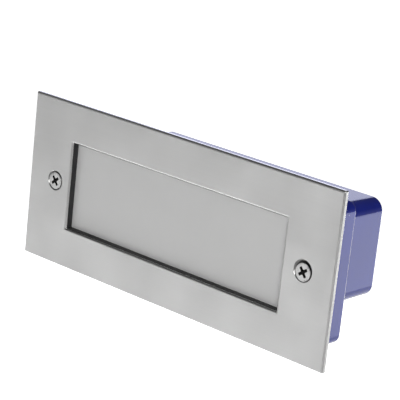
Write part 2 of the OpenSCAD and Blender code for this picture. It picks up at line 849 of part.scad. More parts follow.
module driver_base() {
    inner_w = driver_w - 2 * driver_wall;
    inner_h = driver_h - 2 * driver_wall;
    color("white")
        difference() {
            union() {
                difference() {
                    slab(driver_w, driver_h, driver_corner_r,
                         tray_back_y, driver_split_y, driver_cx, gear_cz);
                    slab(inner_w, inner_h, driver_corner_r - driver_wall,
                         tray_back_y + driver_wall, driver_split_y + cut, driver_cx, gear_cz);
                }
                for (sx = [-1, 1], sz = [-1, 1])
                    rod_y(post_r, tray_back_y + driver_wall - bond, pcb_front_y,
                          driver_cx + sx * (inner_w / 2 - 1.5 * post_r),
                          gear_cz + sz * (inner_h / 2 - 1.5 * post_r));
                fixing_ear([driver_x0 - ear_len / 2, gear_cz], ear_len + 2 * bond, ear_w);
                fixing_ear([driver_x1 + ear_len / 2, gear_cz], ear_len + 2 * bond, ear_w);
            }
            driver_lead_holes();
        }
}

module driver_lid() {
    lip_w = driver_w - 2 * driver_wall - 2 * seat_gap;
    lip_h = driver_h - 2 * driver_wall - 2 * seat_gap;
    inner_w = lip_w - 2 * lid_lip_t;
    inner_h = lip_h - 2 * lid_lip_t;
    color("white")
        difference() {
            union() {
                slab(driver_w, driver_h, driver_corner_r,
                     driver_split_y, driver_back_y, driver_cx, gear_cz);
                slab(lip_w, lip_h, driver_corner_r - driver_wall,
                     driver_split_y - lid_lip_len, driver_split_y + bond, driver_cx, gear_cz);
            }
            slab(inner_w, inner_h, driver_corner_r - driver_wall,
                 driver_split_y - lid_lip_len - cut, driver_back_y - driver_wall,
                 driver_cx, gear_cz);
        }
}

module driver_board() {
    color("darkgreen")
        slab(driver_w - 2 * driver_wall - 2 * pcb_edge_gap,
             driver_h - 2 * driver_wall - 2 * pcb_edge_gap, driver_corner_r - driver_wall,
             pcb_front_y, pcb_back_y, driver_cx, gear_cz);
}

// A ferrite core round a wound bobbin
module driver_transformer() {
    core = [driver_w * transformer_shares[0], driver_h * transformer_shares[1],
            driver_t * transformer_shares[2]];
    color("darkgoldenrod") {
        block([driver_cx - core[0] / 2, pcb_back_y, gear_cz - core[1] / 2],
              [driver_cx + core[0] / 2, pcb_back_y + core[2], gear_cz + core[1] / 2]);
        block([driver_cx - core[0] / 2 * bobbin_share, pcb_back_y, gear_cz - core[1] * bobbin_share],
              [driver_cx + core[0] / 2 * bobbin_share, pcb_back_y + core[2] * bobbin_share,
               gear_cz + core[1] * bobbin_share]);
    }
}

module driver_capacitor() {
    can_r = driver_w * can_radius_share;
    can_inset = driver_wall + lid_lip_t + pcb_edge_gap + can_r;
    color("navy")
        rod_y(can_r, pcb_back_y, pcb_back_y + driver_t * can_height_share,
              driver_x1 - can_inset, gear_cz + driver_h / 2 - can_inset);
}

module gear_nuts() {
    color("silver")
        for (p = gear_ear_places)
            small_nut(p[0], p[1], tray_back_y + ear_t);
}

// Offsets along X of the two screws in each pole
function pole_screw_places() =
    [for (s = [-1, 1]) terminal_cx + s * terminal_len * terminal_screw_step_share];

module terminal_body() {
    color("white")
        difference() {
            union() {
                block([terminal_x0, tray_back_y, gear_cz - terminal_h / 2],
                      [terminal_x1, tray_back_y + terminal_base_t, gear_cz + terminal_h / 2]);
                for (z = pole_places)
                    block([terminal_x0, tray_back_y + bond, z - pole_pitch * terminal_tower_share / 2],
                          [terminal_x1, terminal_top_y, z + pole_pitch * terminal_tower_share / 2]);
                for (side = [0, 1])
                    fixing_ear(gear_ear_places[side], ear_w, ear_len + 2 * bond);
            }
            for (z = pole_places) {
                rod_x(terminal_bore_r + press_gap, terminal_x0 - cut, terminal_x1 + cut,
                      terminal_axis_y, z);
                for (x = pole_screw_places())
                    rod_y(stud_r + part_gap, terminal_axis_y, terminal_top_y + cut, x, z);
            }
        }
}

module terminal_clamps() {
    color("gold")
        for (z = pole_places)
            difference() {
                rod_x(terminal_bore_r, terminal_x0 + clamp_inset, terminal_x1 - clamp_inset,
                      terminal_axis_y, z);
                rod_x(terminal_wire_r, terminal_x0, terminal_x1, terminal_axis_y, z);
                for (x = pole_screw_places())
                    rod_y(stud_r + press_gap, terminal_axis_y, terminal_axis_y + 2 * terminal_bore_r,
                          x, z);
            }
}

module terminal_screws() {
    screw_back_y = terminal_top_y - clamp_inset;
    color("silver")
        for (z = pole_places, x = pole_screw_places())
            difference() {
                rod_y(stud_r, terminal_axis_y + lead_r + seat_gap, screw_back_y, x, z);
                translate([x, screw_back_y, z])
                    cube([2 * stud_d, stud_d * cross_len_share, stud_d * cross_width_share * 2],
                         center = true);
            }
}

// Smooth step from 0 to 1 that stays level near both ends
function level_step(s) =
    let (t = min(max((s - level_end_share) / (1 - 2 * level_end_share), 0), 1))
    t * t * (3 - 2 * t);

// One direction across a route that is never along Z
function across(t) = cross(t, [0, 0, 1]) / norm(cross(t, [0, 0, 1]));

// A tube along the points of a route
module tube_along(points, r) {
    last = len(points) - 1;
    dirs = [for (i = [0 : last]) points[min(i + 1, last)] - points[max(i - 1, 0)]];
    rings = [for (i = [0 : last])
        let (t = dirs[i] / norm(dirs[i]), u = across(t), v = cross(t, u))
        for (k = [0 : lead_sides - 1])
            points[i] + r * (cos(360 * k / lead_sides) * u + sin(360 * k / lead_sides) * v)];
    walls = [for (i = [0 : last - 1], k = [0 : lead_sides - 1])
        [i * lead_sides + k, (i + 1) * lead_sides + k,
         (i + 1) * lead_sides + (k + 1) % lead_sides, i * lead_sides + (k + 1) % lead_sides]];
    polyhedron(rings, concat(walls, [[for (k = [0 : lead_sides - 1]) k]],
               [[for (k = [lead_sides - 1 : -1 : 0]) last * lead_sides + k]]), convexity = 4);
}

// Route of a mains lead from its pole to the driver's board
function mains_route(pole_z, hole_z) =
    let (x0 = terminal_cx + terminal_len * terminal_screw_step_share - stud_r,
         x1 = driver_x0 + driver_wall + lead_tail, rings = 16)
    [for (i = [0 : rings])
        let (s = i / rings, k = level_step(s))
        [x0 + (x1 - x0) * s, terminal_axis_y + (lead_y - terminal_axis_y) * k,
         pole_z + (hole_z - pole_z) * k]];

// Route of a lamp lead from the driver's board over the ear and down through the tray
function lamp_route(z) =
    let (bend_x = lead_drop_x - lead_bend_r, bend_y = lead_y - lead_bend_r, bends = 8)
    concat([[driver_x1 - driver_wall - lead_tail, lead_y, z]],
           [for (i = [0 : bends])
               let (a = 90 * i / bends)
               [bend_x + lead_bend_r * sin(a), bend_y + lead_bend_r * cos(a), z]],
           [[lead_drop_x, board_front_y, z]]);

module mains_lead_live() {
    color("saddlebrown")
        tube_along(mains_route(pole_places[2], gear_cz + mains_lead_step / 2), lead_r);
}

module mains_lead_neutral() {
    color("royalblue")
        tube_along(mains_route(pole_places[0], gear_cz - mains_lead_step / 2), lead_r);
}

module led_lead_plus() {
    color("red")
        tube_along(lamp_route(led_lead_places[1]), lead_r);
}

module led_lead_minus() {
    color("black")
        tube_along(lamp_route(led_lead_places[0]), lead_r);
}

front_plate();
glass_gasket();
diffuser_glass();
glass_backing();
clamp_frame();
clamp_nuts();
plate_seal();
screw_seals();
plate_screw_left();
plate_screw_right();
recess_box();
screw_inserts();
gland_body();
gland_washer();
gland_locknut();
gland_seal();
gland_nut();
lamp_tray();
tray_screws();
reflector();
led_board();
led_chips();
board_screws();
solder_joints();
lead_grommet();
driver_base();
driver_lid();
driver_board();
driver_transformer();
driver_capacitor();
gear_nuts();
terminal_body();
terminal_clamps();
terminal_screws();
mains_lead_live();
mains_lead_neutral();
led_lead_plus();
led_lead_minus();
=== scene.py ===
"""Looks of a recessed brick light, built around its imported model.

Pieces are modelled in millimetres and handed to Blender in metres, in the row frame:
X runs along the plate, Y into the wall and Z up. The plate's back face is the plane y = 0.
"""

import json
import math

import bmesh
import bpy
from mathutils import Matrix, Vector

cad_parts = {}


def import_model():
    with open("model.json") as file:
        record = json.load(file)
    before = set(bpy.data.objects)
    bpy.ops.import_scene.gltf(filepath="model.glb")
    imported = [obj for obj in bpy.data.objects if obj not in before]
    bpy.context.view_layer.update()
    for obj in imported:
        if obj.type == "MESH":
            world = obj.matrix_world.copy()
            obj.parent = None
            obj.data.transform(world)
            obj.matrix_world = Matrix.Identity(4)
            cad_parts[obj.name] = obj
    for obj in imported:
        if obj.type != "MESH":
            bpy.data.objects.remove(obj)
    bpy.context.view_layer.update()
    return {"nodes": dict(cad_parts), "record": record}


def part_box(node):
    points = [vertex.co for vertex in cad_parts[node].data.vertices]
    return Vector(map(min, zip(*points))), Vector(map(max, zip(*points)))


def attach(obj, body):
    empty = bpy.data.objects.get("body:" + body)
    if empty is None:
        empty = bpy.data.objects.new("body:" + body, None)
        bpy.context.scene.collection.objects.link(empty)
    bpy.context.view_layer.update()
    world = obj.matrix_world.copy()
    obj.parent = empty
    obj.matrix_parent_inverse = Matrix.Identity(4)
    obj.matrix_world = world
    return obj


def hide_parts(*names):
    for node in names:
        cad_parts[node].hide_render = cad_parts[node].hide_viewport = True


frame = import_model()

MM = 0.001
TAU = 2 * math.pi
TINY = 1e-4


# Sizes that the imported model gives

def mm_box(node):
    """Lowest and highest corner of a CAD node, in millimetres."""
    low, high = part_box(node)
    return low / MM, high / MM


plate_low, plate_high = mm_box("front_plate")
glass_low, glass_high = mm_box("diffuser_glass")
clamp_low, clamp_high = mm_box("clamp_frame")
seal_low, seal_high = mm_box("plate_seal")
tray_low, tray_high = mm_box("lamp_tray")
board_low, board_high = mm_box("led_board")
screw_low, screw_high = mm_box("plate_screw_right")
cap_low, cap_high = mm_box("gland_nut")

PLATE_W = plate_high.x - plate_low.x
PLATE_H = plate_high.z - plate_low.z
PLATE_FRONT = plate_low.y
SCREW_X = (screw_low.x + screw_high.x) / 2

# Front plate and window, whose opening is drawn as the photograph shows it
GLASS_OVERLAP = 4.0
WINDOW_LESS_W = 1.5
WINDOW_LESS_H = 1.2
WINDOW_W = glass_high.x - glass_low.x - 2 * GLASS_OVERLAP - WINDOW_LESS_W
WINDOW_H = glass_high.z - glass_low.z - 2 * GLASS_OVERLAP - WINDOW_LESS_H
WINDOW_X = -0.95
WINDOW_CORNER_R = 0.4
WINDOW_CORNER_GROWTH = 0.6
WINDOW_EDGE_R = 1.4
WINDOW_ROLL_X = 1.4
PLATE_CORNER_R = 0.8
PLATE_EDGE_R = 0.9
PLATE_ROLL = 1.6
PLATE_ROLL_SLIM = 0.7
PLATE_BACK_EDGE_R = 0.25
GASKET_CORNER_R = 1.5
LIP_SHIFT = 0.28
LIP_TOP_GAP = 0.04

# Each countersink's side, mouth radius, and shift to the right and up from its screw
SINKS = ((-1, 6.0, 0.3, 0.3), (1, 6.3, 0.15, 0.9))
SINK_RIM = 0.12
SINK_TAPER = 0.3
SINK_WALL = 0.5

# Screws, studs and nuts
SCREW_R = 2.5
SCREW_PITCH = 0.8
SCREW_THREAD_DEPTH = 0.42
HEAD_PROUD = 0.6
HEAD_LIP = 0.35
STUD_R = 1.5
STUD_PITCH = 0.5
STUD_THREAD_DEPTH = 0.25
STUD_X = 80.0
STUD_FROM_EDGE = 3.0
STUD_Z = (clamp_high.z - clamp_low.z) / 2 - STUD_FROM_EDGE
WELD_COLLAR = 0.5
WELD_SINK = 0.2
PAN_HEAD_R = 2.8
PAN_THREAD_DEPTH = 0.26
NUT_AF = 5.5
THREAD_GAP = 0.06

# Lamp tray and gear
TRAY_T = 1.2
TRAY_CORNER_R = 4.0
TRAY_EDGE_R = 0.15
BUSH_FLANGE = 1.2
EAR_REACH = 4.0
BOARD_CORNER_R = 1.5
BOARD_EDGE_R = 0.12
CHIP = (3.5, 2.8)
CHIP_WELL_SHARE = 0.78
CHIPS_ALONG = 9
CHIP_ROWS = 3
LEAD_R = 0.9
LEAD_BEND_R = 5.0

# Wall box
SEAL_OUT = 1.5
BOX_WALL = 2.5
BOX_W = seal_high.x - seal_low.x - 2 * SEAL_OUT
BOX_H = seal_high.z - seal_low.z - 2 * SEAL_OUT
BOX_RIM = 1.6
BOX_FRONT_D = 18.1
BOX_FLOOR = BOX_FRONT_D - BOX_WALL
BOX_D = mm_box("recess_box")[1].y
DEEP_FLOOR = BOX_D - BOX_WALL
DEEP_W = 163.4
DEEP_H = 55.4
DEEP_INSET = 2.9
DEEP_X = BOX_W / 2 - DEEP_INSET - DEEP_W / 2
DEEP_Z = BOX_H / 2 - DEEP_INSET - DEEP_H / 2
FRONT_CORNER_R = 5.5
DEEP_CORNER_R = 7.4
RIM_EDGE_R = 0.25
RIM_MOUTH = 0.3
FRONT_EDGE_R = 1.9
DEEP_EDGE_R = 1.2
ROOT_FILLET = 0.5
DRAFT = math.tan(math.radians(1))

# Posts and holes of the box
INTO_WALL = 0.5
OVERRUN = 1.0
INSERTS_FRONT = mm_box("screw_inserts")[0].y
INSERT_R = 3.52
INSERT_L = 8.0
SCREW_WAY_R = 2.8
SCREW_TIP_ROOM = 1.0
BOSS_R = 6.0
RIB_HALF = 1.25
RIB_SETBACK = 4.0
POST_R = 3.5
POST_EDGE_R = 0.4
POST_HOLE_R = 1.56
POST_GAP = 0.1
POST_FRONT = tray_low.y + TRAY_T + POST_GAP
STUB_PAST_SCREW = 2.8
STUB_END = mm_box("tray_screws")[1].y + STUB_PAST_SCREW
STUB_WALL = 2.5
FIXING_X = 60.0
FIXING_R = 2.6
FIXING_PAD_R = 5.2
FIXING_PAD_H = 1.0
FIXING_PAD_EDGE_R = 0.3
GROOVE_R = (9.45, 10.25)
GROOVE_DEPTH = 0.8
PIP_R = 0.5
PIP_H = 0.3
PIP_FROM_STEP = 6.8
PIP_FROM_TOP = 6.0

# Cable gland
GLAND_Y = (cap_low.y + cap_high.y) / 2
GLAND_Z = (cap_low.z + cap_high.z) / 2
GLAND_AXIS = (0, GLAND_Y, GLAND_Z)
GLAND_PITCH = 1.5
GLAND_THREAD_DEPTH = 0.5
GLAND_BODY_AF = 20.0
GLAND_NUT_AF = 19.0
NECK_R = 7.3
SPIGOT_R = 8.0
FLANGE_L = 5.0
CABLE_BORE_R = 4.6
POCKET_R = 5.52
CAP_SHOULDER_R = 9.5
CAP_END_R = 5.9
CAP_DOME_L = 4.5
CAP_MOUTH_R = 4.4
GLAND_PAD_X = mm_box("gland_washer")[1].x
GLAND_PAD_R = 12.2
GLAND_PAD_L = 5.0
GLAND_WAY_R = 8.1
GLAND_WAY_L = 8.0

# Shading
SHARP_ANGLE = 35.0
BOX_SHARP_ANGLE = 28.0
NORMAL_WEIGHT = 60
CAD_EASE = 0.12


# Outlines and meshes

def outline(w, h, r, cx=0.0, cz=0.0, steps=8):
    """Points (x, z) round a rectangle with rounded corners."""
    r = max(r, TINY)
    points = []
    for k, (sx, sz) in enumerate(((1, 1), (-1, 1), (-1, -1), (1, -1))):
        for i in range(steps + 1):
            a = math.radians(90 * (k + i / steps))
            points.append((cx + sx * (w / 2 - r) + r * math.cos(a),
                           cz + sz * (h / 2 - r) + r * math.sin(a)))
    return points


def circle(r, cx=0.0, cz=0.0, steps=48):
    """Points (x, z) round a circle."""
    return [(cx + r * math.cos(TAU * i / steps), cz + r * math.sin(TAU * i / steps))
            for i in range(steps)]


def box_outline(w, h, r, cx=0.0, cz=0.0, steps=8):
    """The outline of a rounded rectangle for an inset."""
    return lambda inset: outline(w - 2 * inset, h - 2 * inset, r - inset, cx, cz, steps)


def quarter(r, steps=3):
    """Insets and depths of a rounded edge, from the flat face to the wall."""
    turns = [math.radians(90 * i / steps) for i in range(steps + 1)]
    return [(r * (1 - math.sin(t)), r * (1 - math.cos(t))) for t in turns]


def bridge(bm, a, b):
    """Faces between two rings of as many points."""
    for i in range(len(a)):
        k = (i + 1) % len(a)
        bm.faces.new((a[i], a[k], b[k], b[i]))


def stack(bm, layers):
    """Rings of as many points, each with its y, bridged in turn."""
    rings = [[bm.verts.new((x, y, z)) for x, z in points] for points, y in layers]
    for a, b in zip(rings, rings[1:]):
        bridge(bm, a, b)
    return rings


def closed_stack(layers):
    """A new mesh of stacked rings with a flat face at each end."""
    bm = bmesh.new()
    rings = stack(bm, layers)
    bm.faces.new(rings[0])
    bm.faces.new(rings[-1])
    return bm


def paint_new(bm, known, index):
    """Gives the faces that were made after the known ones a finish of their own."""
    for face in set(bm.faces) - known:
        face.material_index = index


def fill(bm, *rings):
    """A flat face with holes, inside the first ring and outside the others."""
    edges = []
    for ring in rings:
        for v, w in zip(ring, ring[1:] + ring[:1]):
            edges.append(bm.edges.get((v, w)) or bm.edges.new((v, w)))
    bmesh.ops.triangle_fill(bm, use_beauty=True, use_dissolve=False, edges=edges)


def sheet(bm, outer, holes, y0, y1, edge, steps=2):
    """A flat sheet from y0 to y1 with rounded edges."""
    fronts = []
    backs = []
    for shape, sign in [(outer, 1)] + [(hole, -1) for hole in holes]:
        rounds = quarter(edge, steps)
        layers = [(shape(sign * i), y0 + d) for i, d in rounds]
        layers += [(shape(sign * i), y1 - d) for i, d in reversed(rounds)]
        rings = stack(bm, layers)
        fronts.append(rings[0])
        backs.append(rings[-1])
    fill(bm, *fronts)
    fill(bm, *backs)


def block(bm, low, high, edge=0.0):
    """A block between two corners, with rounded outer edges where edge is given."""
    size = Vector(high) - Vector(low)
    centre = (Vector(high) + Vector(low)) / 2
    made = bmesh.ops.create_cube(bm, size=1, matrix=Matrix.Translation(centre) @ Matrix.Diagonal((*size, 1)))
    if edge:
        edges = {e for v in made["verts"] for e in v.link_edges}
        bmesh.ops.bevel(bm, geom=list(edges), offset=edge, segments=3, profile=0.5, affect="EDGES")


def spot(place, along, u, v, w):
    """A point at w along an axis through place, and at u and v across it."""
    px, py, pz = place
    places = {"x": (px + w, py + u, pz + v),
              "y": (px + u, py + w, pz + v),
              "z": (px + u, py + v, pz + w)}
    return places[along]


def at_angle(value, a):
    """A radius that may depend on the angle."""
    return value(a) if callable(value) else value


def turned(bm, profile, place, along="y", steps=48, closed=False):
    """A turned surface from (radius, distance) pairs about an axis through place."""
    rings = []
    for r, d in profile:
        if not callable(r) and r < TINY:
            rings.append([bm.verts.new(spot(place, along, 0, 0, d))])
            continue
        ring = []
        for i in range(steps):
            a = TAU * i / steps
            u, v = at_angle(r, a) * math.cos(a), at_angle(r, a) * math.sin(a)
            ring.append(bm.verts.new(spot(place, along, u, v, d)))
        rings.append(ring)
    if closed:
        rings.append(rings[0])
    for a, b in zip(rings, rings[1:]):
        if len(a) == 1 or len(b) == 1:
            pole, ring = (a[0], b) if len(a) == 1 else (b[0], a)
            for v, w in zip(ring, ring[1:] + ring[:1]):
                bm.faces.new((pole, v, w))
        else:
            bridge(bm, a, b)
    return rings


def rod(r, start, end):
    """Profile of a plain round bar."""
    return [(0, start), (r, start), (r, end), (0, end)]


def rounded(points, r, steps=3):
    """A profile with its corners rounded by about r."""
    points = [Vector(p) for p in points]
    made = [points[0]]
    for a, b, c in zip(points, points[1:], points[2:]):
        u, v = a - b, c - b
        reach = min(r / math.tan(u.angle(v) / 2), 0.48 * u.length, 0.48 * v.length)
        p, q = b + u.normalized() * reach, b + v.normalized() * reach
        for i in range(steps + 1):
            t = i / steps
            made.append((1 - t) ** 2 * p + 2 * t * (1 - t) * b + t * t * q)
    return [tuple(p) for p in made + [points[-1]]]


def hex_side(af):
    """Radius of a hexagon at an angle, with a corner at the angle 0."""
    return lambda a: af / 2 / math.cos(a % (TAU / 6) - TAU / 12)


def thread(r, start, end, pitch, depth, rows=8):
    """Rows of a helical thread with crests at r, fading out at both ends."""
    count = max(2, round(abs(end - start) / pitch * rows))
    made = []
    for k in range(count + 1):
        d = start + (end - start) * k / count
        fade = min(1.0, abs(d - start) / pitch, abs(end - d) / pitch)
        made.append((lambda a, d=d, fade=fade:
                     r - depth * fade * abs(2 * ((d / pitch - a / TAU) % 1) - 1), d))
    return made


def tube(bm, points, r, sides=16):
    """A round tube along points, with closed ends."""
    rings = []
    for i, p in enumerate(points):
        ahead = Vector(points[min(i + 1, len(points) - 1)]) - Vector(points[max(i - 1, 0)])
        u = ahead.cross(Vector((0, 0, 1))).normalized()
        v = ahead.cross(u).normalized()
        rings.append([bm.verts.new(Vector(p) + r * (math.cos(TAU * k / sides) * u
                                                    + math.sin(TAU * k / sides) * v))
                      for k in range(sides)])
    for a, b in zip(rings, rings[1:]):
        bridge(bm, a, b)
    bm.faces.new(rings[0])
    bm.faces.new(rings[-1])


def new_object(name, data):
    """A new object in the scene."""
    obj = bpy.data.objects.new(name, data)
    bpy.context.scene.collection.objects.link(obj)
    return obj


def mesh_object(name, bm):
    """A new object in the scene, which takes over a mesh."""
    mesh = bpy.data.meshes.new(name)
    bm.to_mesh(mesh)
    bm.free()
    return new_object(name, mesh)


def finish_mesh(name, bm, sharp=SHARP_ANGLE):
    """A new object from a mesh in millimetres, shaded smooth between its sharp edges."""
    bmesh.ops.remove_doubles(bm, verts=bm.verts, dist=TINY)
    bmesh.ops.recalc_face_normals(bm, faces=bm.faces)
    bmesh.ops.transform(bm, matrix=Matrix.Scale(MM, 4), verts=bm.verts)
    obj = mesh_object(name, bm)
    smooth(obj, sharp)
    return obj


def smooth(obj, sharp=SHARP_ANGLE):
    """Smooth shading that keeps large flat faces flat."""
    obj.data.shade_smooth()
    obj.data.set_sharp_from_angle(angle=math.radians(sharp))
    weigh = obj.modifiers.new("weigh normals", "WEIGHTED_NORMAL")
    weigh.keep_sharp = True
    weigh.weight = NORMAL_WEIGHT


def body_of(node):
    """The body that a CAD node belongs to."""
    bodies = frame["record"]["behaviour"]["bodies"]
    return next(body for body, nodes in bodies.items() if node in nodes)


def slot_of(node):
    """The record's material slot of a CAD node."""
    return next(part["material_slot"] for part in frame["record"]["subparts"] if part["node"] == node)


def piece(name, bm, node, finishes=(), stands_in=True, sharp=SHARP_ANGLE):
    """A finished piece that stands in for a CAD node, or only rides along with it."""
    obj = finish_mesh(name, bm, sharp)
    for look in finishes or (looks[slot_of(node)],):
        obj.data.materials.append(look)
    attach(obj, body_of(node))
    if stands_in:
        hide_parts(node)


def combined(name, operations):
    """A solid made from bmeshes by exact union and difference, in order."""
    base = None
    tools = []
    for kind, bm in operations:
        part = finish_mesh(name + "_" + str(len(tools)), bm)
        part.modifiers.clear()
        tools.append(part)
        if base is None:
            base = part
            continue
        cut = base.modifiers.new(kind, "BOOLEAN")
        cut.operation = kind
        cut.solver = "EXACT"
        cut.use_self = True
        cut.object = part
    bpy.context.view_layer.update()
    mesh = bpy.data.meshes.new_from_object(base.evaluated_get(bpy.context.evaluated_depsgraph_get()))
    for part in tools:
        old = part.data
        bpy.data.objects.remove(part)
        bpy.data.meshes.remove(old)
    bm = bmesh.new()
    bm.from_mesh(mesh)
    bpy.data.meshes.remove(mesh)
    bmesh.ops.transform(bm, matrix=Matrix.Scale(1 / MM, 4), verts=bm.verts)
    bmesh.ops.dissolve_degenerate(bm, edges=bm.edges, dist=TINY)
    return bm


# Materials, which are kept by name

looks = {}


class Nodes:
    """A node tree, with short names for what is done most."""

    def __init__(self, tree):
        self.tree = tree

    def set(self, socket, value):
        """Gives a socket a number or colour, or links another node's output to it."""
        if isinstance(value, bpy.types.NodeSocket):
            self.tree.links.new(value, socket)
        else:
            socket.default_value = value

    def add(self, kind, **sockets):
        """A new node with some sockets set; their names have _ in place of a space."""
        node = self.tree.nodes.new("ShaderNode" + kind)
        for socket, value in sockets.items():
            self.set(node.inputs[socket.replace("_", " ")], value)
        return node

    def blend(self, value, *stops):
        """A colour ramp with two stops, each (place, colour)."""
        node = self.add("ValToRGB", Fac=value)
        for element, (at, color) in zip(node.color_ramp.elements, stops):
            element.position = at
            element.color = (*color, 1.0)
        return node.outputs["Color"]


class Look(Nodes):
    """A procedural material."""

    def __init__(self, name, color, roughness, **sockets):
        self.material = bpy.data.materials.new(name)
        self.material.use_nodes = True
        looks[name] = self.material
        super().__init__(self.material.node_tree)
        self.shader = self.tree.nodes["Principled BSDF"]
        self.feed("Base Color", (*color, 1.0))
        self.feed("Roughness", roughness)
        for socket, value in sockets.items():
            self.feed(socket.replace("_", " "), value)
        self.place = self.add("TexCoord").outputs["Object"]
        self.height = None

    def stretched(self, x, y, z):
        """Object coordinates scaled along each axis."""
        return self.add("Mapping", Scale=(x, y, z), Vector=self.place).outputs["Vector"]

    def noise(self, scale, detail=3.0, place=None, rough=0.5):
        """Smooth noise from 0 to 1, with scale in waves per metre."""
        node = self.add("TexNoise", Scale=scale, Detail=detail, Roughness=rough, Vector=place or self.place)
        return node.outputs["Fac"]

    def cells(self, scale):
        """Distance to the nearest of scattered points."""
        return self.add("TexVoronoi", Scale=scale, Vector=self.place).outputs["Distance"]

    def spread(self, value, low, high, start=0.0, end=1.0):
        """A value from start to end, taken to low to high."""
        node = self.add("MapRange", Value=value, From_Min=start, From_Max=end, To_Min=low, To_Max=high)
        return node.outputs["Result"]

    def both(self, a, b, how="MULTIPLY"):
        """Two values multiplied, or put together in another way."""
        node = self.add("Math")
        node.operation = how
        self.set(node.inputs[0], a)
        self.set(node.inputs[1], b)
        return node.outputs["Value"]

    def mixed(self, share, a, b):
        """Colour a, or colour b where share is 1."""
        node = self.add("Mix")
        node.data_type = "RGBA"
        for socket, value in (("Factor", share), (6, a), (7, b)):
            self.set(node.inputs[socket], value)
        return node.outputs[2]

    def facing(self, axis, low, high):
        """From 0 where faces are turned away from an axis by low to 1 where they face it by high."""
        split = self.add("SeparateXYZ", Vector=self.add("TexCoord").outputs["Normal"])
        size = self.add("Math")
        size.operation = "ABSOLUTE"
        self.set(size.inputs[0], split.outputs[axis])
        return self.spread(size.outputs["Value"], 0.0, 1.0, low, high)

    def feed(self, socket, value):
        """Sets one of the shader's sockets."""
        self.set(self.shader.inputs[socket], value)

    def bump(self, height, depth):
        """Adds relief; depth is in millimetres."""
        node = self.add("Bump", Distance=depth * MM, Strength=1.0, Height=height)
        if self.height is not None:
            self.set(node.inputs["Normal"], self.height)
        self.height = node.outputs["Normal"]
        self.feed("Normal", self.height)


def shade(color, factor):
    """A colour made lighter or darker."""
    return tuple(min(1.0, c * factor) for c in color)


def brushed_look(name, color, roughness, cut=False):
    """Steel brushed along X and polished on its roundings; cut gives it sheared edges with painted light,
    lighter where they face up or down and darker where they face the sides.
    """
    look = Look(name, color, roughness, Metallic=1.0)
    streaks = look.noise(1.0, 4.0, look.stretched(14, 300, 5200), 0.7)
    long_streaks = look.noise(1.0, 2.0, look.stretched(5, 60, 900), 0.6)
    smears = look.noise(26, 3.0)
    tone = look.both(look.spread(streaks, 0.95, 1.03), look.spread(long_streaks, 0.985, 1.015))
    face = look.blend(look.both(tone, 0.5), (0.43, shade(color, 0.86)), (0.55, shade(color, 1.1)))
    if cut:
        grain = look.noise(700, 3.0)
        # Sheared edges: grainy cut steel, with painted light, lighter on the long top and bottom edges and
        # painted shade on the short side edges.
        lit_long_edge = look.blend(grain, (0.35, (0.60, 0.60, 0.595)), (0.7, (0.74, 0.74, 0.735)))
        shaded_short_edge = look.blend(grain, (0.35, (0.23, 0.23, 0.228)), (0.7, (0.31, 0.31, 0.307)))
        sheared = look.mixed(look.facing("X", 0.3, 0.7), lit_long_edge, shaded_short_edge)
        face = look.mixed(look.facing("Y", 0.4, 0.08), face, sheared)
    look.feed("Base Color", face)
    rough = look.both(look.spread(streaks, 0.0, 0.10), look.spread(smears, -0.05, 0.07, 0.3, 0.7), "ADD")
    rough = look.both(look.both(look.facing("Y", 0.97, 0.8), -0.14), rough, "ADD")
    look.feed("Roughness", look.both(rough, roughness, "ADD"))
    look.bump(streaks, 0.002)
    return look.material


def metal_look(name, color, roughness, grain=900, depth=0.004):
    """Plated or turned metal with a fine uneven skin."""
    look = Look(name, color, roughness, Metallic=1.0)
    fine = look.noise(grain, 4.0)
    broad = look.noise(grain / 9, 3.0)
    look.feed("Base Color", look.blend(broad, (0.3, shade(color, 0.86)), (0.7, shade(color, 1.08))))
    rough = look.both(look.spread(fine, -0.05, 0.06), look.spread(broad, -0.04, 0.06), "ADD")
    look.feed("Roughness", look.both(rough, roughness, "ADD"))
    look.bump(fine, depth)
    return look.material


def plastic_look(name, color, roughness, grain=1500, depth=0.006, **sockets):
    """Moulded plastic with a fine grain and faint cloudiness."""
    look = Look(name, color, roughness, **sockets)
    fine = look.noise(grain, 3.0)
    broad = look.noise(45, 3.0)
    look.feed("Base Color", look.blend(broad, (0.3, shade(color, 0.93)), (0.7, shade(color, 1.06))))
    rough = look.both(look.spread(fine, -0.04, 0.05), look.spread(broad, -0.03, 0.05), "ADD")
    look.feed("Roughness", look.both(rough, roughness, "ADD"))
    look.bump(fine, depth)
    return look.material


def rubber_look():
    """Black rubber with a matt, dusty skin."""
    color = (0.018, 0.018, 0.019)
    look = Look("black_rubber", color, 0.7)
    dust = look.noise(60, 4.0)
    fine = look.noise(2600, 2.0)
    look.feed("Base Color", look.blend(dust, (0.35, color), (0.8, tuple(c + 0.018 for c in color))))
    look.feed("Roughness", look.spread(dust, 0.62, 0.8))
    look.bump(fine, 0.01)
    return look.material


def foam_look():
    """Closed cell foam."""
    look = Look("foam", (0.022, 0.022, 0.024), 0.85)
    cells = look.cells(1700)
    look.feed("Base Color", look.blend(cells, (0.1, (0.008, 0.008, 0.009)), (0.6, (0.04, 0.04, 0.042))))
    look.bump(cells, 0.12)
    return look.material


def glass_look():
    """Glass with an acid frosted face: it glows softly and hides what lies behind it."""
    color = (0.745, 0.745, 0.74)
    look = Look("frosted_glass", color, 0.42, IOR=1.5, Transmission_Weight=0.1)
    frost = look.noise(3800, 3.0)
    broad = look.noise(30, 3.0)
    look.feed("Base Color", look.blend(broad, (0.3, shade(color, 0.985)), (0.7, shade(color, 1.015))))
    look.feed("Roughness", look.spread(frost, 0.38, 0.48))
    look.bump(frost, 0.006)
    return look.material


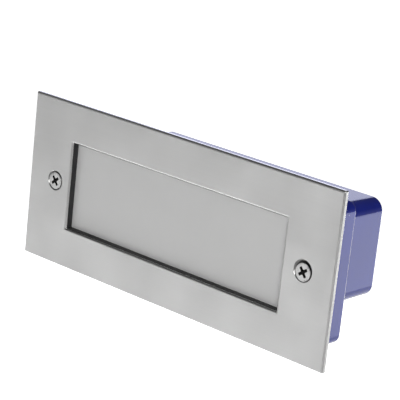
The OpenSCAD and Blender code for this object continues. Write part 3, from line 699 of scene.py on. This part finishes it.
def blue_look():
    """Glossy ultramarine plastic of the wall box."""
    color = (0.010, 0.019, 0.25)
    look = Look("blue_plastic", color, 0.10, IOR=1.6, Specular_Tint=(0.60, 0.64, 1.0, 1.0))
    peel = look.noise(230, 2.0)
    fine = look.noise(1800, 3.0)
    broad = look.noise(22, 4.0)
    look.feed("Base Color", look.blend(broad, (0.3, shade(color, 0.9)), (0.7, shade(color, 1.12))))
    look.feed("Roughness", look.both(look.spread(fine, 0.07, 0.13), look.spread(broad, 0.0, 0.05), "ADD"))
    look.bump(peel, 0.012)
    look.bump(fine, 0.0012)
    return look.material


def board_look(name, color, trace):
    """A coated circuit board, whose tracks show through as a faint relief."""
    look = Look(name, color, 0.38)
    turn = look.add("Mapping", Rotation=(math.radians(90), 0, 0), Vector=look.place)
    brick = look.add("TexBrick", Scale=31.25, Mortar_Size=0.025, Color1=(*color, 1.0),
                     Color2=(*shade(color, 0.97), 1.0), Mortar=(*trace, 1.0), Vector=turn.outputs["Vector"])
    brick.offset = 0
    look.feed("Base Color", brick.outputs["Color"])
    fine = look.noise(1900, 3.0)
    look.feed("Roughness", look.spread(fine, 0.32, 0.46))
    look.bump(brick.outputs["Fac"], 0.01)
    look.bump(fine, 0.004)
    return look.material


STEEL = (0.60, 0.60, 0.595)
brushed_look("stainless_plate", STEEL, 0.30)
metal_look("screw_steel", (0.56, 0.56, 0.555), 0.27, 1400)
metal_look("zinc_steel", (0.48, 0.49, 0.51), 0.52, 500, 0.006)
glass_look()
rubber_look()
foam_look()
plastic_look("silicone", (0.62, 0.62, 0.60), 0.45, 900, 0.01, Subsurface_Weight=0.15)
blue_look()
plastic_look("grey_plastic", (0.055, 0.056, 0.060), 0.46, 1300, 0.02)
plastic_look("white_plastic", (0.78, 0.78, 0.76), 0.42, 1300, 0.012)
plastic_look("nylon", (0.74, 0.73, 0.67), 0.40, 900, 0.008, Subsurface_Weight=0.1)
board_look("white_board", (0.80, 0.80, 0.78), (0.74, 0.74, 0.71))
plastic_look("lamp_chip", (0.83, 0.62, 0.12), 0.30, 2600, 0.01, Subsurface_Weight=0.1)
metal_look("solder", (0.66, 0.66, 0.66), 0.22, 700, 0.01)
metal_look("brass", (0.68, 0.50, 0.20), 0.26, 1200)
board_look("green_board", (0.02, 0.15, 0.05), (0.05, 0.24, 0.09))
plastic_look("ferrite", (0.07, 0.066, 0.062), 0.62, 1100, 0.02)
plastic_look("can_sleeve", (0.02, 0.03, 0.12), 0.25, 700, 0.006)
plastic_look("brown_lead", (0.16, 0.06, 0.025), 0.38, 1800, 0.006)
plastic_look("blue_lead", (0.02, 0.13, 0.50), 0.38, 1800, 0.006)
plastic_look("red_lead", (0.45, 0.015, 0.015), 0.38, 1800, 0.006)
plastic_look("black_lead", (0.014, 0.014, 0.015), 0.40, 1800, 0.006)

# Screws are steel, with a near-black second colour on their cross recesses: painted shade, where the recess
# lies in shadow.
SCREW_STEEL_AND_RECESS_SHADE = [looks["screw_steel"], metal_look("screw_recess_painted_shade", (0.03, 0.03, 0.03), 0.6, 1400)]
# The plate's cut edges: sheared steel with painted light and shade, lighter at top and bottom, darker at the
# sides.
CUT_EDGE = brushed_look("plate_edge", STEEL, 0.32, cut=True)
# The countersinks' cones are steel coloured much darker than the plate: painted shade for the shadowed gap
# round the screw heads.
SINK_SHADE_LOOK = metal_look("countersink", (0.30, 0.30, 0.295), 0.32, 1400)
# A pale blue-white colour for the box's small pip: a painted highlight on the blue plastic.
PIP_PAINTED_HIGHLIGHT = plastic_look("pip_painted_highlight", (0.46, 0.48, 0.74), 0.45)


# Front unit

def window(inset):
    """The window's outline for an inset; it grows more to the sides, and its corners less."""
    grown = WINDOW_CORNER_R - WINDOW_CORNER_GROWTH * inset
    across = inset * WINDOW_ROLL_X if inset < 0 else inset
    return outline(WINDOW_W - 2 * across, WINDOW_H - 2 * inset, grown, WINDOW_X, steps=12)


def plate_outline(inset):
    """The plate's outline for an inset, wider at the top and right edges."""
    wide, slim = PLATE_ROLL * inset, PLATE_ROLL_SLIM * inset
    shift = (slim - wide) / 2
    return outline(PLATE_W - wide - slim, PLATE_H - wide - slim, PLATE_CORNER_R - wide, shift, shift)


def weld_stud(bm, x, z, root, tip):
    """A threaded stud along Y, with a collar where it is welded on."""
    collar_r = STUD_R + WELD_COLLAR
    foot = root - WELD_SINK
    profile = [(0, foot), (collar_r, foot), (collar_r, root + 0.02), (STUD_R, root + 0.5)]
    profile += thread(STUD_R, root + 0.6, tip - 0.3, STUD_PITCH, STUD_THREAD_DEPTH)
    turned(bm, profile + [(STUD_R - 0.3, tip), (0, tip)], (x, 0, z), steps=24)


def front_plate():
    """The plate with its rolled window edge, countersinks and eased outer edges."""
    bm = bmesh.new()
    fronts = []
    backs = []
    outer = box_outline(PLATE_W, PLATE_H, PLATE_CORNER_R)
    rings = stack(bm, [(plate_outline(i), PLATE_FRONT + d) for i, d in quarter(PLATE_EDGE_R, 8)]
                  + [(outer(i), -d) for i, d in reversed(quarter(PLATE_BACK_EDGE_R, 3))])
    # The outer edge takes the third colour, cut steel with painted light and shade.
    for face in bm.faces:
        face.material_index = 2
    fronts.append(rings[0])
    backs.append(rings[-1])
    rings = stack(bm, [(window(-i), PLATE_FRONT + d) for i, d in quarter(WINDOW_EDGE_R, 12)]
                  + [(window(-i), -d) for i, d in reversed(quarter(PLATE_BACK_EDGE_R, 3))])
    fronts.append(rings[0])
    backs.append(rings[-1])
    for side, r, shift, lift in SINKS:
        x = side * SCREW_X
        mouth = (circle(r, x + shift, lift, 64), PLATE_FRONT + SINK_RIM * 0.6)
        edge = stack(bm, [(circle(r + SINK_RIM, x + shift, lift, 64), PLATE_FRONT), mouth])
        # The cone faces made below take the second colour, the countersinks' painted shade.
        known = set(bm.faces)
        cone = stack(bm, [mouth, (circle(r - SINK_TAPER, x + shift, lift, 64), PLATE_FRONT + SINK_WALL),
                          (circle(r + PLATE_FRONT, x, 0, 64), 0)])
        paint_new(bm, known, 1)
        fronts.append(edge[0])
        backs.append(cone[-1])
    fill(bm, *fronts)
    fill(bm, *backs)
    piece("plate_sheet", bm, "front_plate", [looks["stainless_plate"], SINK_SHADE_LOOK, CUT_EDGE])
    studs = bmesh.new()
    for x, z in plate_studs:
        weld_stud(studs, x, z, 0, plate_high.y)
    piece("plate_studs", studs, "front_plate", [looks["screw_steel"]], stands_in=False)


def cross(half_len, half_wide, angle, cx, cz):
    """Outline of a cross with softened corners, turned by an angle."""
    soft = half_wide * 0.35
    arm = [(half_len - soft, -half_wide), (half_len, -half_wide + soft),
           (half_len, half_wide - soft), (half_len - soft, half_wide),
           (half_wide + soft, half_wide), (half_wide, half_wide + soft)]
    points = []
    for k in range(4):
        a = angle + k * math.pi / 2
        for x, z in arm:
            points.append((cx + x * math.cos(a) - z * math.sin(a), cz + x * math.sin(a) + z * math.cos(a)))
    return points


def cross_screw(bm, x, z, profile, arm, wide, deep, turn):
    """A screw with a cross recess in the flat face that its profile starts with; the recess is coloured with
    painted shade.
    """
    rings = turned(bm, profile, (x, 0, z), steps=64)
    top = profile[0][1]
    angle = -math.radians(turn)
    layers = [(1.0, 1.0, 0), (0.96, 0.94, 0.1), (0.82, 0.86, deep * 0.55), (0.4, 0.7, deep)]
    known = set(bm.faces)
    recess = stack(bm, [(cross(arm * a, wide * b, angle, x, z), top + d) for a, b, d in layers])
    bm.faces.new(recess[-1])
    # The recess faces take the screws' second colour, a near-black painted shade.
    paint_new(bm, known, 1)
    fill(bm, rings[0], recess[0])


def plate_screw(name, node, side, turn):
    """A countersunk screw with a cross recess and a rolled thread."""
    low, high = mm_box(node)
    head_r = (high.x - low.x) / 2
    top = low.y - HEAD_PROUD
    cone_end = top + HEAD_LIP + head_r - SCREW_R
    profile = [(head_r - 0.3, top), (head_r - 0.1, top + 0.06), (head_r, top + 0.2),
               (head_r, top + HEAD_LIP), (SCREW_R, cone_end), (SCREW_R, cone_end + 0.6)]
    profile += thread(SCREW_R, profile[-1][1] + 0.2, high.y - 0.5, SCREW_PITCH, SCREW_THREAD_DEPTH)
    profile += [(SCREW_R - 0.9, high.y), (0, high.y)]
    bm = bmesh.new()
    cross_screw(bm, side * SCREW_X, 0, profile, head_r * 0.64, head_r * 0.17, head_r * 0.5, turn)
    piece(name, bm, node, SCREW_STEEL_AND_RECESS_SHADE)


def pan_screws(name, node, seat):
    """Small screws with domed heads at the four corners of a node's box."""
    low, high = mm_box(node)
    head_r = PAN_HEAD_R
    top = low.y
    bm = bmesh.new()
    for x in (low.x + head_r, high.x - head_r):
        for z in (low.z + head_r, high.z - head_r):
            profile = [(head_r * 0.66, top), (head_r * 0.82, top + 0.14), (head_r * 0.95, top + 0.5),
                       (head_r, top + 0.95), (head_r * 0.98, seat - 0.1), (head_r * 0.92, seat),
                       (STUD_R, seat)]
            profile += thread(STUD_R, seat + 0.2, high.y - 0.4, STUD_PITCH, PAN_THREAD_DEPTH)
            profile += [(STUD_R - 0.4, high.y), (0, high.y)]
            cross_screw(bm, x, z, profile, head_r * 0.54, head_r * 0.14, 1.0, 17 * x + 31 * z)
    piece(name, bm, node, SCREW_STEEL_AND_RECESS_SHADE)


def hex_rows(af, start, end):
    """Rows of a hexagonal bar whose corners are chamfered at both ends."""
    side = hex_side(af)
    slope = math.tan(math.radians(30))
    face_r = 0.95 * af / 2
    run = (af / 2 / math.cos(math.radians(30)) - face_r) * slope
    step = math.copysign(run, end - start)
    shares = (0.0, 0.3, 0.65, 1.0)
    rows = [(start + k * step, k) for k in shares] + [(end - k * step, k) for k in reversed(shares)]
    return [(lambda a, k=k: min(side(a), face_r + k * run / slope), d) for d, k in rows]


def nut_rows(af, start, end, bore_r, mouth_r, depth):
    """Rows of a nut that is chamfered outside and at both mouths of its bore."""
    return hex_rows(af, start, end) + [(mouth_r, end), (bore_r, end - depth),
                                       (bore_r, start + depth), (mouth_r, start)]


def hex_nuts(name, node, places):
    """Small chamfered nuts on studs along Y."""
    low, high = mm_box(node)
    rows = nut_rows(NUT_AF, low.y, high.y, STUD_R + THREAD_GAP, STUD_R + 0.35, 0.3)
    bm = bmesh.new()
    for x, z in places:
        turned(bm, rows, (x, 0, z), steps=72, closed=True)
    piece(name, bm, node)


def gasket():
    """The black strip between plate and glass, whose lip lines the window's edge; the lip also covers the
    window's inner wall, standing in for the shade in the gap there.
    """
    low, high = mm_box("glass_gasket")
    bm = bmesh.new()
    outer = outline(high.x - low.x, high.z - low.z, GASKET_CORNER_R)
    # The lip is the gasket's own black rubber, carried up over the window's inner wall: partly real gasket,
    # partly a dark band that stands in for the shade in the gap there.
    lip_y = PLATE_FRONT + 0.65 * WINDOW_EDGE_R
    lip_x = WINDOW_X + LIP_SHIFT

    def rim(inset):
        """The lip's outline, whose lower edge rises by the inset while its upper edge stays."""
        return outline(WINDOW_W - 0.3 * inset, WINDOW_H - LIP_TOP_GAP - inset, WINDOW_CORNER_R, lip_x,
                       (inset - LIP_TOP_GAP) / 2, steps=12)

    inner = [(window(-0.05), low.y), (window(-0.05), lip_y + 0.1), (rim(0.1), lip_y), (rim(0.2), lip_y),
             (rim(0.3), lip_y + 0.1), (rim(0.33), lip_y + 0.4), (rim(0.33), high.y)]
    edge = stack(bm, [(outer, low.y), (outer, high.y)])
    lip = stack(bm, inner)
    fill(bm, edge[0], lip[0])
    fill(bm, edge[-1], lip[-1])
    piece("gasket_strip", bm, "glass_gasket")


plate_studs = [(x, z) for x in (-STUD_X, 0, STUD_X) for z in (-STUD_Z, STUD_Z)]
front_plate()
gasket()
plate_screw("screw_left", "plate_screw_left", -1, -38)
plate_screw("screw_right", "plate_screw_right", 1, -36)
hex_nuts("clamp_frame_nuts", "clamp_nuts", plate_studs)


# Wall box

def rounded_rod(bm, x, z, r, y0, y1, edge=POST_EDGE_R):
    """A post along Y with a rounded front end."""
    turned(bm, rounded([(0, y0), (r, y0), (r, y1)], edge) + [(0, y1)], (x, 0, z), steps=48)


def tray_screw_places():
    """Where the four tray screws are."""
    low, high = mm_box("tray_screws")
    x = (high.x - low.x) / 2 - PAN_HEAD_R
    z = (high.z - low.z) / 2 - PAN_HEAD_R
    return [(sx * x, sz * z) for sx in (-1, 1) for sz in (-1, 1)]


def box_body():
    """The box's outside: the front section, and the deep section that tapers towards its rear."""
    deep = box_outline(DEEP_W, DEEP_H, DEEP_CORNER_R, DEEP_X, DEEP_Z)
    front = box_outline(BOX_W, BOX_H, FRONT_CORNER_R)
    root_grow = DRAFT * (BOX_D - DEEP_EDGE_R - BOX_FRONT_D)
    layers = [(front(i), BOX_RIM + d) for i, d in quarter(RIM_EDGE_R, 2)]
    layers += [(front(i), BOX_FRONT_D - d) for i, d in reversed(quarter(FRONT_EDGE_R, 8))]
    layers += [(deep(-root_grow - i), BOX_FRONT_D + d) for i, d in quarter(ROOT_FILLET, 4)]
    layers += [(deep(i), BOX_D - d) for i, d in reversed(quarter(DEEP_EDGE_R, 8))]
    return closed_stack(layers)


def box_cavity():
    """The room inside both sections, with an eased mouth."""
    inner = box_outline(BOX_W - 2 * BOX_WALL, BOX_H - 2 * BOX_WALL, FRONT_CORNER_R - BOX_WALL)
    deep = box_outline(DEEP_W - 2 * BOX_WALL, DEEP_H - 2 * BOX_WALL, DEEP_CORNER_R - BOX_WALL,
                       DEEP_X, DEEP_Z)
    return closed_stack([(inner(-RIM_MOUTH), BOX_RIM - OVERRUN), (inner(-RIM_MOUTH), BOX_RIM),
                         (inner(0), BOX_RIM + RIM_MOUTH), (inner(0), BOX_FLOOR),
                         (deep(0), BOX_FLOOR), (deep(0), DEEP_FLOOR)])


def box_posts():
    """Screw bosses with their ribs, tray posts, pads of the wall fixings and the gland's pad."""
    bm = bmesh.new()
    rounded_rod(bm, -SCREW_X, 0, BOSS_R, INSERTS_FRONT, BOX_FLOOR + INTO_WALL)
    rounded_rod(bm, SCREW_X, 0, BOSS_R, INSERTS_FRONT, DEEP_FLOOR + INTO_WALL)
    rib_y = INSERTS_FRONT + RIB_SETBACK
    inner_x = BOX_W / 2 - BOX_WALL
    deep_x = DEEP_X + DEEP_W / 2 - BOX_WALL
    block(bm, (-inner_x - INTO_WALL, rib_y, -RIB_HALF), (-SCREW_X, BOX_FLOOR + INTO_WALL, RIB_HALF))
    block(bm, (SCREW_X, rib_y, -RIB_HALF), (inner_x + INTO_WALL, BOX_FLOOR + INTO_WALL, RIB_HALF))
    block(bm, (SCREW_X, BOX_FLOOR, -RIB_HALF), (deep_x + INTO_WALL, DEEP_FLOOR + INTO_WALL, RIB_HALF))
    for x, z in tray_screw_places():
        end = DEEP_FLOOR + INTO_WALL if x > 0 and z > 0 else STUB_END
        turned(bm, rounded(rod(POST_R, POST_FRONT, end), POST_EDGE_R), (x, 0, z), steps=40)
    for side in (-1, 1):
        rounded_rod(bm, DEEP_X + side * FIXING_X, DEEP_Z, FIXING_PAD_R, DEEP_FLOOR - FIXING_PAD_H,
                    DEEP_FLOOR + INTO_WALL, FIXING_PAD_EDGE_R)
    pad_end = GLAND_PAD_X + GLAND_PAD_L
    pad = [(0, GLAND_PAD_X), (GLAND_PAD_R, GLAND_PAD_X), (GLAND_PAD_R, pad_end)]
    turned(bm, rounded(pad, POST_EDGE_R) + [(0, pad_end)], GLAND_AXIS, "x", 72)
    return bm


def box_holes():
    """Holes for plate screws, wall fixings, tray screws and gland, and two knock-out grooves."""
    bm = bmesh.new()
    start = INSERTS_FRONT - OVERRUN
    insert_end = INSERTS_FRONT + INSERT_L
    way_end = screw_high.y + SCREW_TIP_ROOM
    for side in (-1, 1):
        turned(bm, [(0, start), (INSERT_R, start), (INSERT_R, insert_end), (SCREW_WAY_R, insert_end),
                    (SCREW_WAY_R, way_end), (0, way_end)], (side * SCREW_X, 0, 0), steps=48)
        turned(bm, rod(FIXING_R, DEEP_FLOOR - FIXING_PAD_H - OVERRUN, BOX_D + OVERRUN),
               (DEEP_X + side * FIXING_X, 0, DEEP_Z), steps=40)
    for x, z in tray_screw_places():
        turned(bm, rod(POST_HOLE_R, POST_FRONT - OVERRUN, STUB_END - STUB_WALL), (x, 0, z), steps=24)
    turned(bm, rod(GLAND_WAY_R, GLAND_PAD_X - OVERRUN, GLAND_PAD_X + GLAND_WAY_L), GLAND_AXIS, "x", 64)
    near, far = GROOVE_R
    groove = [(near, GROOVE_DEPTH), (near, -OVERRUN), (far, -OVERRUN), (far, GROOVE_DEPTH)]
    turned(bm, [(r, BOX_D - d) for r, d in groove], (DEEP_X, 0, DEEP_Z), steps=72, closed=True)
    bottom = DEEP_Z - DEEP_H / 2 - DRAFT * (BOX_D - GLAND_Y)
    turned(bm, [(r, bottom + d) for r, d in groove], (DEEP_X, GLAND_Y, 0), "z", 72, closed=True)
    return bm


def wall_box():
    """The moulded box in one piece."""
    box = combined("box_solid", [("UNION", box_body()), ("DIFFERENCE", box_cavity()),
                                 ("UNION", box_posts()), ("DIFFERENCE", box_holes())])
    piece("box_shell", box, "recess_box", sharp=BOX_SHARP_ANGLE)


def box_pip():
    """The small dome on the right wall of the box, coloured pale as a painted highlight."""
    wall = BOX_W / 2
    turns = [math.radians(15 * i) for i in range(7)]
    dome = [(PIP_R * math.sin(t), wall + PIP_H * math.cos(t)) for t in turns]
    bm = bmesh.new()
    turned(bm, dome + [(PIP_R, wall - PIP_H), (0, wall - PIP_H)],
           (0, BOX_FRONT_D - PIP_FROM_STEP, BOX_H / 2 - PIP_FROM_TOP), "x", 24)
    piece("box_pip", bm, "recess_box", [PIP_PAINTED_HIGHLIGHT], stands_in=False)


wall_box()
box_pip()


# Cable gland

def gland_piece(name, node, profile):
    """A piece of the gland, turned about its axis."""
    bm = bmesh.new()
    turned(bm, profile, GLAND_AXIS, "x", 72, closed=True)
    piece(name, bm, node)


def gland_body():
    """The gland's threaded body, with a hexagonal flange and a pocket for the rubber sleeve."""
    low, high = mm_box("gland_body")
    flange_end = mm_box("gland_washer")[0].x
    flange_start = flange_end - FLANGE_L
    pocket_end = mm_box("gland_seal")[1].x
    profile = [(POCKET_R + 0.3, low.x), (NECK_R - 0.4, low.x), (NECK_R, low.x + 0.4)]
    profile += thread(NECK_R, low.x + 0.6, flange_start - 0.4, GLAND_PITCH, GLAND_THREAD_DEPTH)
    profile += hex_rows(GLAND_BODY_AF, flange_start, flange_end)
    profile += thread(SPIGOT_R, flange_end + 0.3, high.x - 0.8, GLAND_PITCH, GLAND_THREAD_DEPTH)
    profile += [(SPIGOT_R - 0.5, high.x), (CABLE_BORE_R + 0.4, high.x), (CABLE_BORE_R, high.x - 0.4),
                (CABLE_BORE_R, pocket_end), (POCKET_R, pocket_end), (POCKET_R, low.x + 0.3)]
    gland_piece("gland_fitting", "gland_body", profile)


def gland_cap():
    """The gland's cap nut, with a hexagon at its foot and a dome round the cable."""
    dome = cap_low.x + CAP_DOME_L
    profile = hex_rows(GLAND_NUT_AF, cap_high.x, dome)[:-2]
    for i in range(9):
        t = math.radians(90 * i / 8)
        r = CAP_END_R + (CAP_SHOULDER_R - CAP_END_R) * math.cos(t)
        profile.append((r, dome - CAP_DOME_L * math.sin(t)))
    profile += [(CAP_MOUTH_R + 0.35, cap_low.x), (CAP_MOUTH_R, cap_low.x + 0.35), (CAP_MOUTH_R, dome - 0.5),
                (NECK_R + THREAD_GAP, dome), (NECK_R + THREAD_GAP, cap_high.x - 0.5),
                (NECK_R + 0.6, cap_high.x)]
    gland_piece("gland_cap_nut", "gland_nut", profile)


gland_body()
locknut_low, locknut_high = mm_box("gland_locknut")
gland_piece("gland_back_nut", "gland_locknut",
            nut_rows(GLAND_NUT_AF, locknut_low.x, locknut_high.x, SPIGOT_R + 0.05, SPIGOT_R + 0.4, 0.35))
gland_cap()


# Lamp tray and gear

def lamp_tray():
    """The steel tray with its slot for the lamp leads and the studs that hold the gear."""
    slot_low, slot_high = mm_box("lead_grommet")
    slot_x, slot_z = (slot_low.x + slot_high.x) / 2, (slot_low.z + slot_high.z) / 2
    slot_w = slot_high.x - slot_low.x - 2 * BUSH_FLANGE
    slot_h = slot_high.z - slot_low.z - 2 * BUSH_FLANGE
    slot = box_outline(slot_w, slot_h, slot_w / 2 - 0.05, slot_x, slot_z)
    plan = box_outline(tray_high.x - tray_low.x, tray_high.z - tray_low.z, TRAY_CORNER_R)
    back = tray_low.y + TRAY_T
    bm = bmesh.new()
    sheet(bm, plan, [slot], tray_low.y, back, TRAY_EDGE_R)
    for x, z in gear_studs:
        weld_stud(bm, x, z, back, tray_high.y)
    piece("tray_sheet", bm, "lamp_tray")


def lamp_board():
    """The coated board that carries the chips."""
    plan = box_outline(board_high.x - board_low.x, board_high.z - board_low.z, BOARD_CORNER_R)
    bm = bmesh.new()
    sheet(bm, plan, [], board_low.y, board_high.y, BOARD_EDGE_R)
    piece("board_sheet", bm, "led_board")


def spaced(low, high, size, count):
    """Centres of things of one size that stand evenly between two ends."""
    return [low + size / 2 + i * (high - low - size) / (count - 1) for i in range(count)]


def lamp_chips():
    """White chip bodies with yellow phosphor wells and bright end contacts."""
    low, high = mm_box("led_chips")
    wide, tall = CHIP
    bm = bmesh.new()
    for x in spaced(low.x, high.x, wide, CHIPS_ALONG):
        for z in spaced(low.z, high.z, tall, CHIP_ROWS):
            body = box_outline(wide, tall, 0.3, x, z, 3)
            well = box_outline(wide * CHIP_WELL_SHARE, tall * CHIP_WELL_SHARE, 0.5, x, z, 3)
            well_floor = (well(0.12), low.y + 0.16)
            rings = stack(bm, [(body(0), high.y), (body(0), low.y + 0.08), (body(0.08), low.y),
                               (well(0), low.y), well_floor])
            known = set(bm.faces)
            swell = stack(bm, [well_floor, (well(0.4), low.y + 0.07), (well(0.9), low.y + 0.03)])
            bm.faces.new(swell[-1])
            paint_new(bm, known, 1)
            bm.faces.new(rings[0])
            known = set(bm.faces)
            for side in (-1, 1):
                end = x + side * (wide / 2 + 0.15)
                block(bm, (end - 0.25, high.y - 0.28, z - tall * 0.38),
                      (end + 0.25, high.y - 0.01, z + tall * 0.38), 0.06)
            paint_new(bm, known, 2)
    piece("lamp_chip_set", bm, "led_chips", [looks["white_plastic"], looks["lamp_chip"], looks["solder"]])


def solder_domes():
    """Solder that wets the board round each lamp lead."""
    low, high = mm_box("solder_joints")
    r = (high.x - low.x) / 2
    top = high.y - low.y
    shares = [(1.0, 0.0), (0.9, 0.08), (0.76, 0.3), (0.6, 0.62), (0.4, 0.88), (0.2, 0.98), (0.0, 1.0)]
    bm = bmesh.new()
    for z in (low.z + r, high.z - r):
        turned(bm, [(r * a, high.y - top * b) for a, b in shares], ((low.x + high.x) / 2, 0, z), steps=32)
    piece("solder_domes", bm, "solder_joints")


def level_step(s, level=0.3):
    """Smooth step from 0 to 1 that stays level near both ends."""
    t = min(max((s - level) / (1 - 2 * level), 0), 1)
    return t * t * (3 - 2 * t)


def mains_lead(name, node, upper):
    """A lead from its pole in the terminal block to the driver's board."""
    low, high = mm_box(node)
    start = (low.x, low.y + LEAD_R, high.z - LEAD_R if upper else low.z + LEAD_R)
    end = (high.x, high.y - LEAD_R, low.z + LEAD_R if upper else high.z - LEAD_R)
    rings = 48
    points = []
    for i in range(rings + 1):
        k = level_step(i / rings)
        points.append((start[0] + (end[0] - start[0]) * i / rings, start[1] + (end[1] - start[1]) * k,
                       start[2] + (end[2] - start[2]) * k))
    bm = bmesh.new()
    tube(bm, points, LEAD_R, 24)
    piece(name, bm, node)


def lamp_lead(name, node):
    """A lead from the driver's board over its ear and down through the tray."""
    low, high = mm_box(node)
    drop, z, back = high.x - LEAD_R, (low.z + high.z) / 2, high.y - LEAD_R
    bends = 24
    points = [(low.x, back, z)]
    for i in range(bends + 1):
        a = math.radians(90 * i / bends)
        points.append((drop - LEAD_BEND_R + LEAD_BEND_R * math.sin(a),
                       back - LEAD_BEND_R + LEAD_BEND_R * math.cos(a), z))
    points.append((drop, low.y, z))
    bm = bmesh.new()
    tube(bm, points, LEAD_R, 24)
    piece(name, bm, node)


nuts_low, nuts_high = mm_box("gear_nuts")
driver_low, driver_high = mm_box("driver_base")
terminal_low, terminal_high = mm_box("terminal_body")
terminal_x = (terminal_low.x + terminal_high.x) / 2
gear_studs = [(terminal_x, nuts_low.z + NUT_AF / 2), (terminal_x, nuts_high.z - NUT_AF / 2),
              (driver_low.x + EAR_REACH, GLAND_Z), (driver_high.x - EAR_REACH, GLAND_Z)]
lamp_tray()
lamp_board()
pan_screws("tray_pan_screws", "tray_screws", tray_low.y)
pan_screws("board_pan_screws", "board_screws", board_low.y)
hex_nuts("gear_frame_nuts", "gear_nuts", gear_studs)
lamp_chips()
solder_domes()
mains_lead("lead_live", "mains_lead_live", True)
mains_lead("lead_neutral", "mains_lead_neutral", False)
lamp_lead("lamp_lead_plus", "led_lead_plus")
lamp_lead("lamp_lead_minus", "led_lead_minus")


# CAD nodes that keep their shape

def dress(node, look):
    """Gives a CAD node its finish and eases its edges."""
    obj = frame["nodes"][node]
    obj.data.materials.clear()
    obj.data.materials.append(looks[look])
    if "custom_normal" in obj.data.attributes:
        obj.data.attributes.remove(obj.data.attributes["custom_normal"])
    obj.data.shade_smooth()
    weld = obj.modifiers.new("weld", "WELD")
    weld.merge_threshold = TINY * MM
    bevel = obj.modifiers.new("ease", "BEVEL")
    bevel.width = CAD_EASE * MM
    bevel.segments = 2
    bevel.limit_method = "ANGLE"
    bevel.angle_limit = math.radians(32)
    bevel.use_clamp_overlap = False
    weigh = obj.modifiers.new("weigh normals", "WEIGHTED_NORMAL")
    weigh.weight = NORMAL_WEIGHT


for subpart in frame["record"]["subparts"]:
    if not frame["nodes"][subpart["node"]].hide_render:
        dress(subpart["node"], subpart["material_slot"])


# Stage, light and camera

FLOOR_Z = -0.45
FLOOR_R = 6.0
CAMERA_GLOW = 0.75
MIRROR_GLOW = 0.05
CAMERA_FROM_PLATE = Vector((0.6367, -0.7011, 0.2790))
CAMERA_AZIMUTH = 41.35
CAMERA_ELEVATION = 15.55
CAMERA_ROLL = 6.2
CAMERA_LENS = 158.9


def camera():
    """The photograph's viewpoint, in front and to the right of the plate and a little above it."""
    az, el, roll = (math.radians(v) for v in (CAMERA_AZIMUTH, CAMERA_ELEVATION, CAMERA_ROLL))
    back = Vector((math.sin(az) * math.cos(el), -math.cos(az) * math.cos(el), math.sin(el)))
    level = Vector((math.cos(az), math.sin(az), 0))
    above = back.cross(level)
    right = level * math.cos(roll) + above * math.sin(roll)
    up = back.cross(right)
    data = bpy.data.cameras.new("camera")
    data.lens = CAMERA_LENS
    data.sensor_width = 36
    obj = new_object("camera", data)
    place = Vector((0, PLATE_FRONT * MM, 0)) + CAMERA_FROM_PLATE
    turn = Matrix((right, up, back)).transposed()
    obj.matrix_world = Matrix.Translation(place) @ turn.to_4x4()
    bpy.context.scene.camera = obj


def floor():
    """A wide white floor: white to the camera, and to gloss and glass behind the object."""
    bm = bmesh.new()
    bm.faces.new([bm.verts.new((x, y, FLOOR_Z)) for x, y in circle(FLOOR_R, steps=64)])
    obj = mesh_object("floor", bm)
    look = Look("floor", (0.85, 0.85, 0.85), 0.9, Emission_Color=(1, 1, 1, 1))
    away = look.add("SeparateXYZ", Vector=look.place).outputs["Y"]
    path = look.add("LightPath")
    mirrored = look.both(path.outputs["Is Glossy Ray"], path.outputs["Is Transmission Ray"], "MAXIMUM")
    seen = look.both(path.outputs["Is Camera Ray"], look.spread(away, CAMERA_GLOW, 1.0, 0.25, 0.8))
    shown = look.both(mirrored, look.spread(away, MIRROR_GLOW, 1.0, 0.1, 0.35))
    look.feed("Emission Strength", look.both(seen, shown, "ADD"))
    obj.data.materials.append(look.material)


def world():
    """White to the camera; for gloss, white near the horizon and dim overhead."""
    made = bpy.data.worlds.new("studio")
    made.use_nodes = True
    nodes = Nodes(made.node_tree)
    white = nodes.tree.nodes["Background"]
    nodes.set(white.inputs["Color"], (1, 1, 1, 1))
    nodes.set(white.inputs["Strength"], 1.0)
    split = nodes.add("SeparateXYZ", Vector=nodes.add("TexCoord").outputs["Generated"])
    glow = nodes.blend(split.outputs["Z"], (0.06, (0.40, 0.40, 0.40)), (0.30, (0.10, 0.10, 0.10)))
    sky = nodes.add("Background", Color=glow)
    mix = nodes.add("MixShader", Fac=nodes.add("LightPath").outputs["Is Camera Ray"])
    nodes.set(mix.inputs[1], sky.outputs["Background"])
    nodes.set(mix.inputs[2], white.outputs["Background"])
    nodes.set(nodes.tree.nodes["World Output"].inputs["Surface"], mix.outputs["Shader"])
    bpy.context.scene.world = made


def softbox(name, place, size, brightness, target=(0, 0.02, 0), color=(1, 1, 1)):
    """A soft rectangular lamp that faces the object and isn't seen by the camera."""
    data = bpy.data.lights.new(name, "AREA")
    data.color = color
    data.shape = "RECTANGLE"
    data.size, data.size_y = size
    data.energy = brightness * math.pi * size[0] * size[1]
    obj = new_object(name, data)
    obj.location = place
    obj.rotation_euler = (Vector(place) - Vector(target)).to_track_quat("Z", "Y").to_euler()
    obj.visible_camera = False


camera()
floor()
world()
softbox("back_left", (-1.0, 1.1, 0.42), (1.2, 0.5), 1.55, color=(0.78, 0.80, 1))
softbox("back_right", (0.8, 0.9, -0.26), (1.0, 0.36), 1.85)
softbox("back_low", (-0.25, 1.25, -0.33), (0.9, 0.2), 5.0)
softbox("front_right", (1.15, -1.3, 0.45), (0.8, 0.5), 11)
softbox("overhead", (-0.3, -0.2, 2.2), (0.8, 0.8), 3, (-0.3, -0.15, 0))
softbox("floor_wash", (-1.1, -1.39, -0.2), (1.64, 1.38), 1.34, (-1.1, -1.39, -1))
softbox("floor_left", (-1.35, 0.1, -0.2), (0.6, 1.2), 1.2, (-1.35, 0.1, -1))
softbox("floor_near", (-0.4, -0.08, -0.2), (0.4, 0.4), 5, (-0.4, -0.08, -1))
bpy.context.scene.view_settings.view_transform = "Standard"
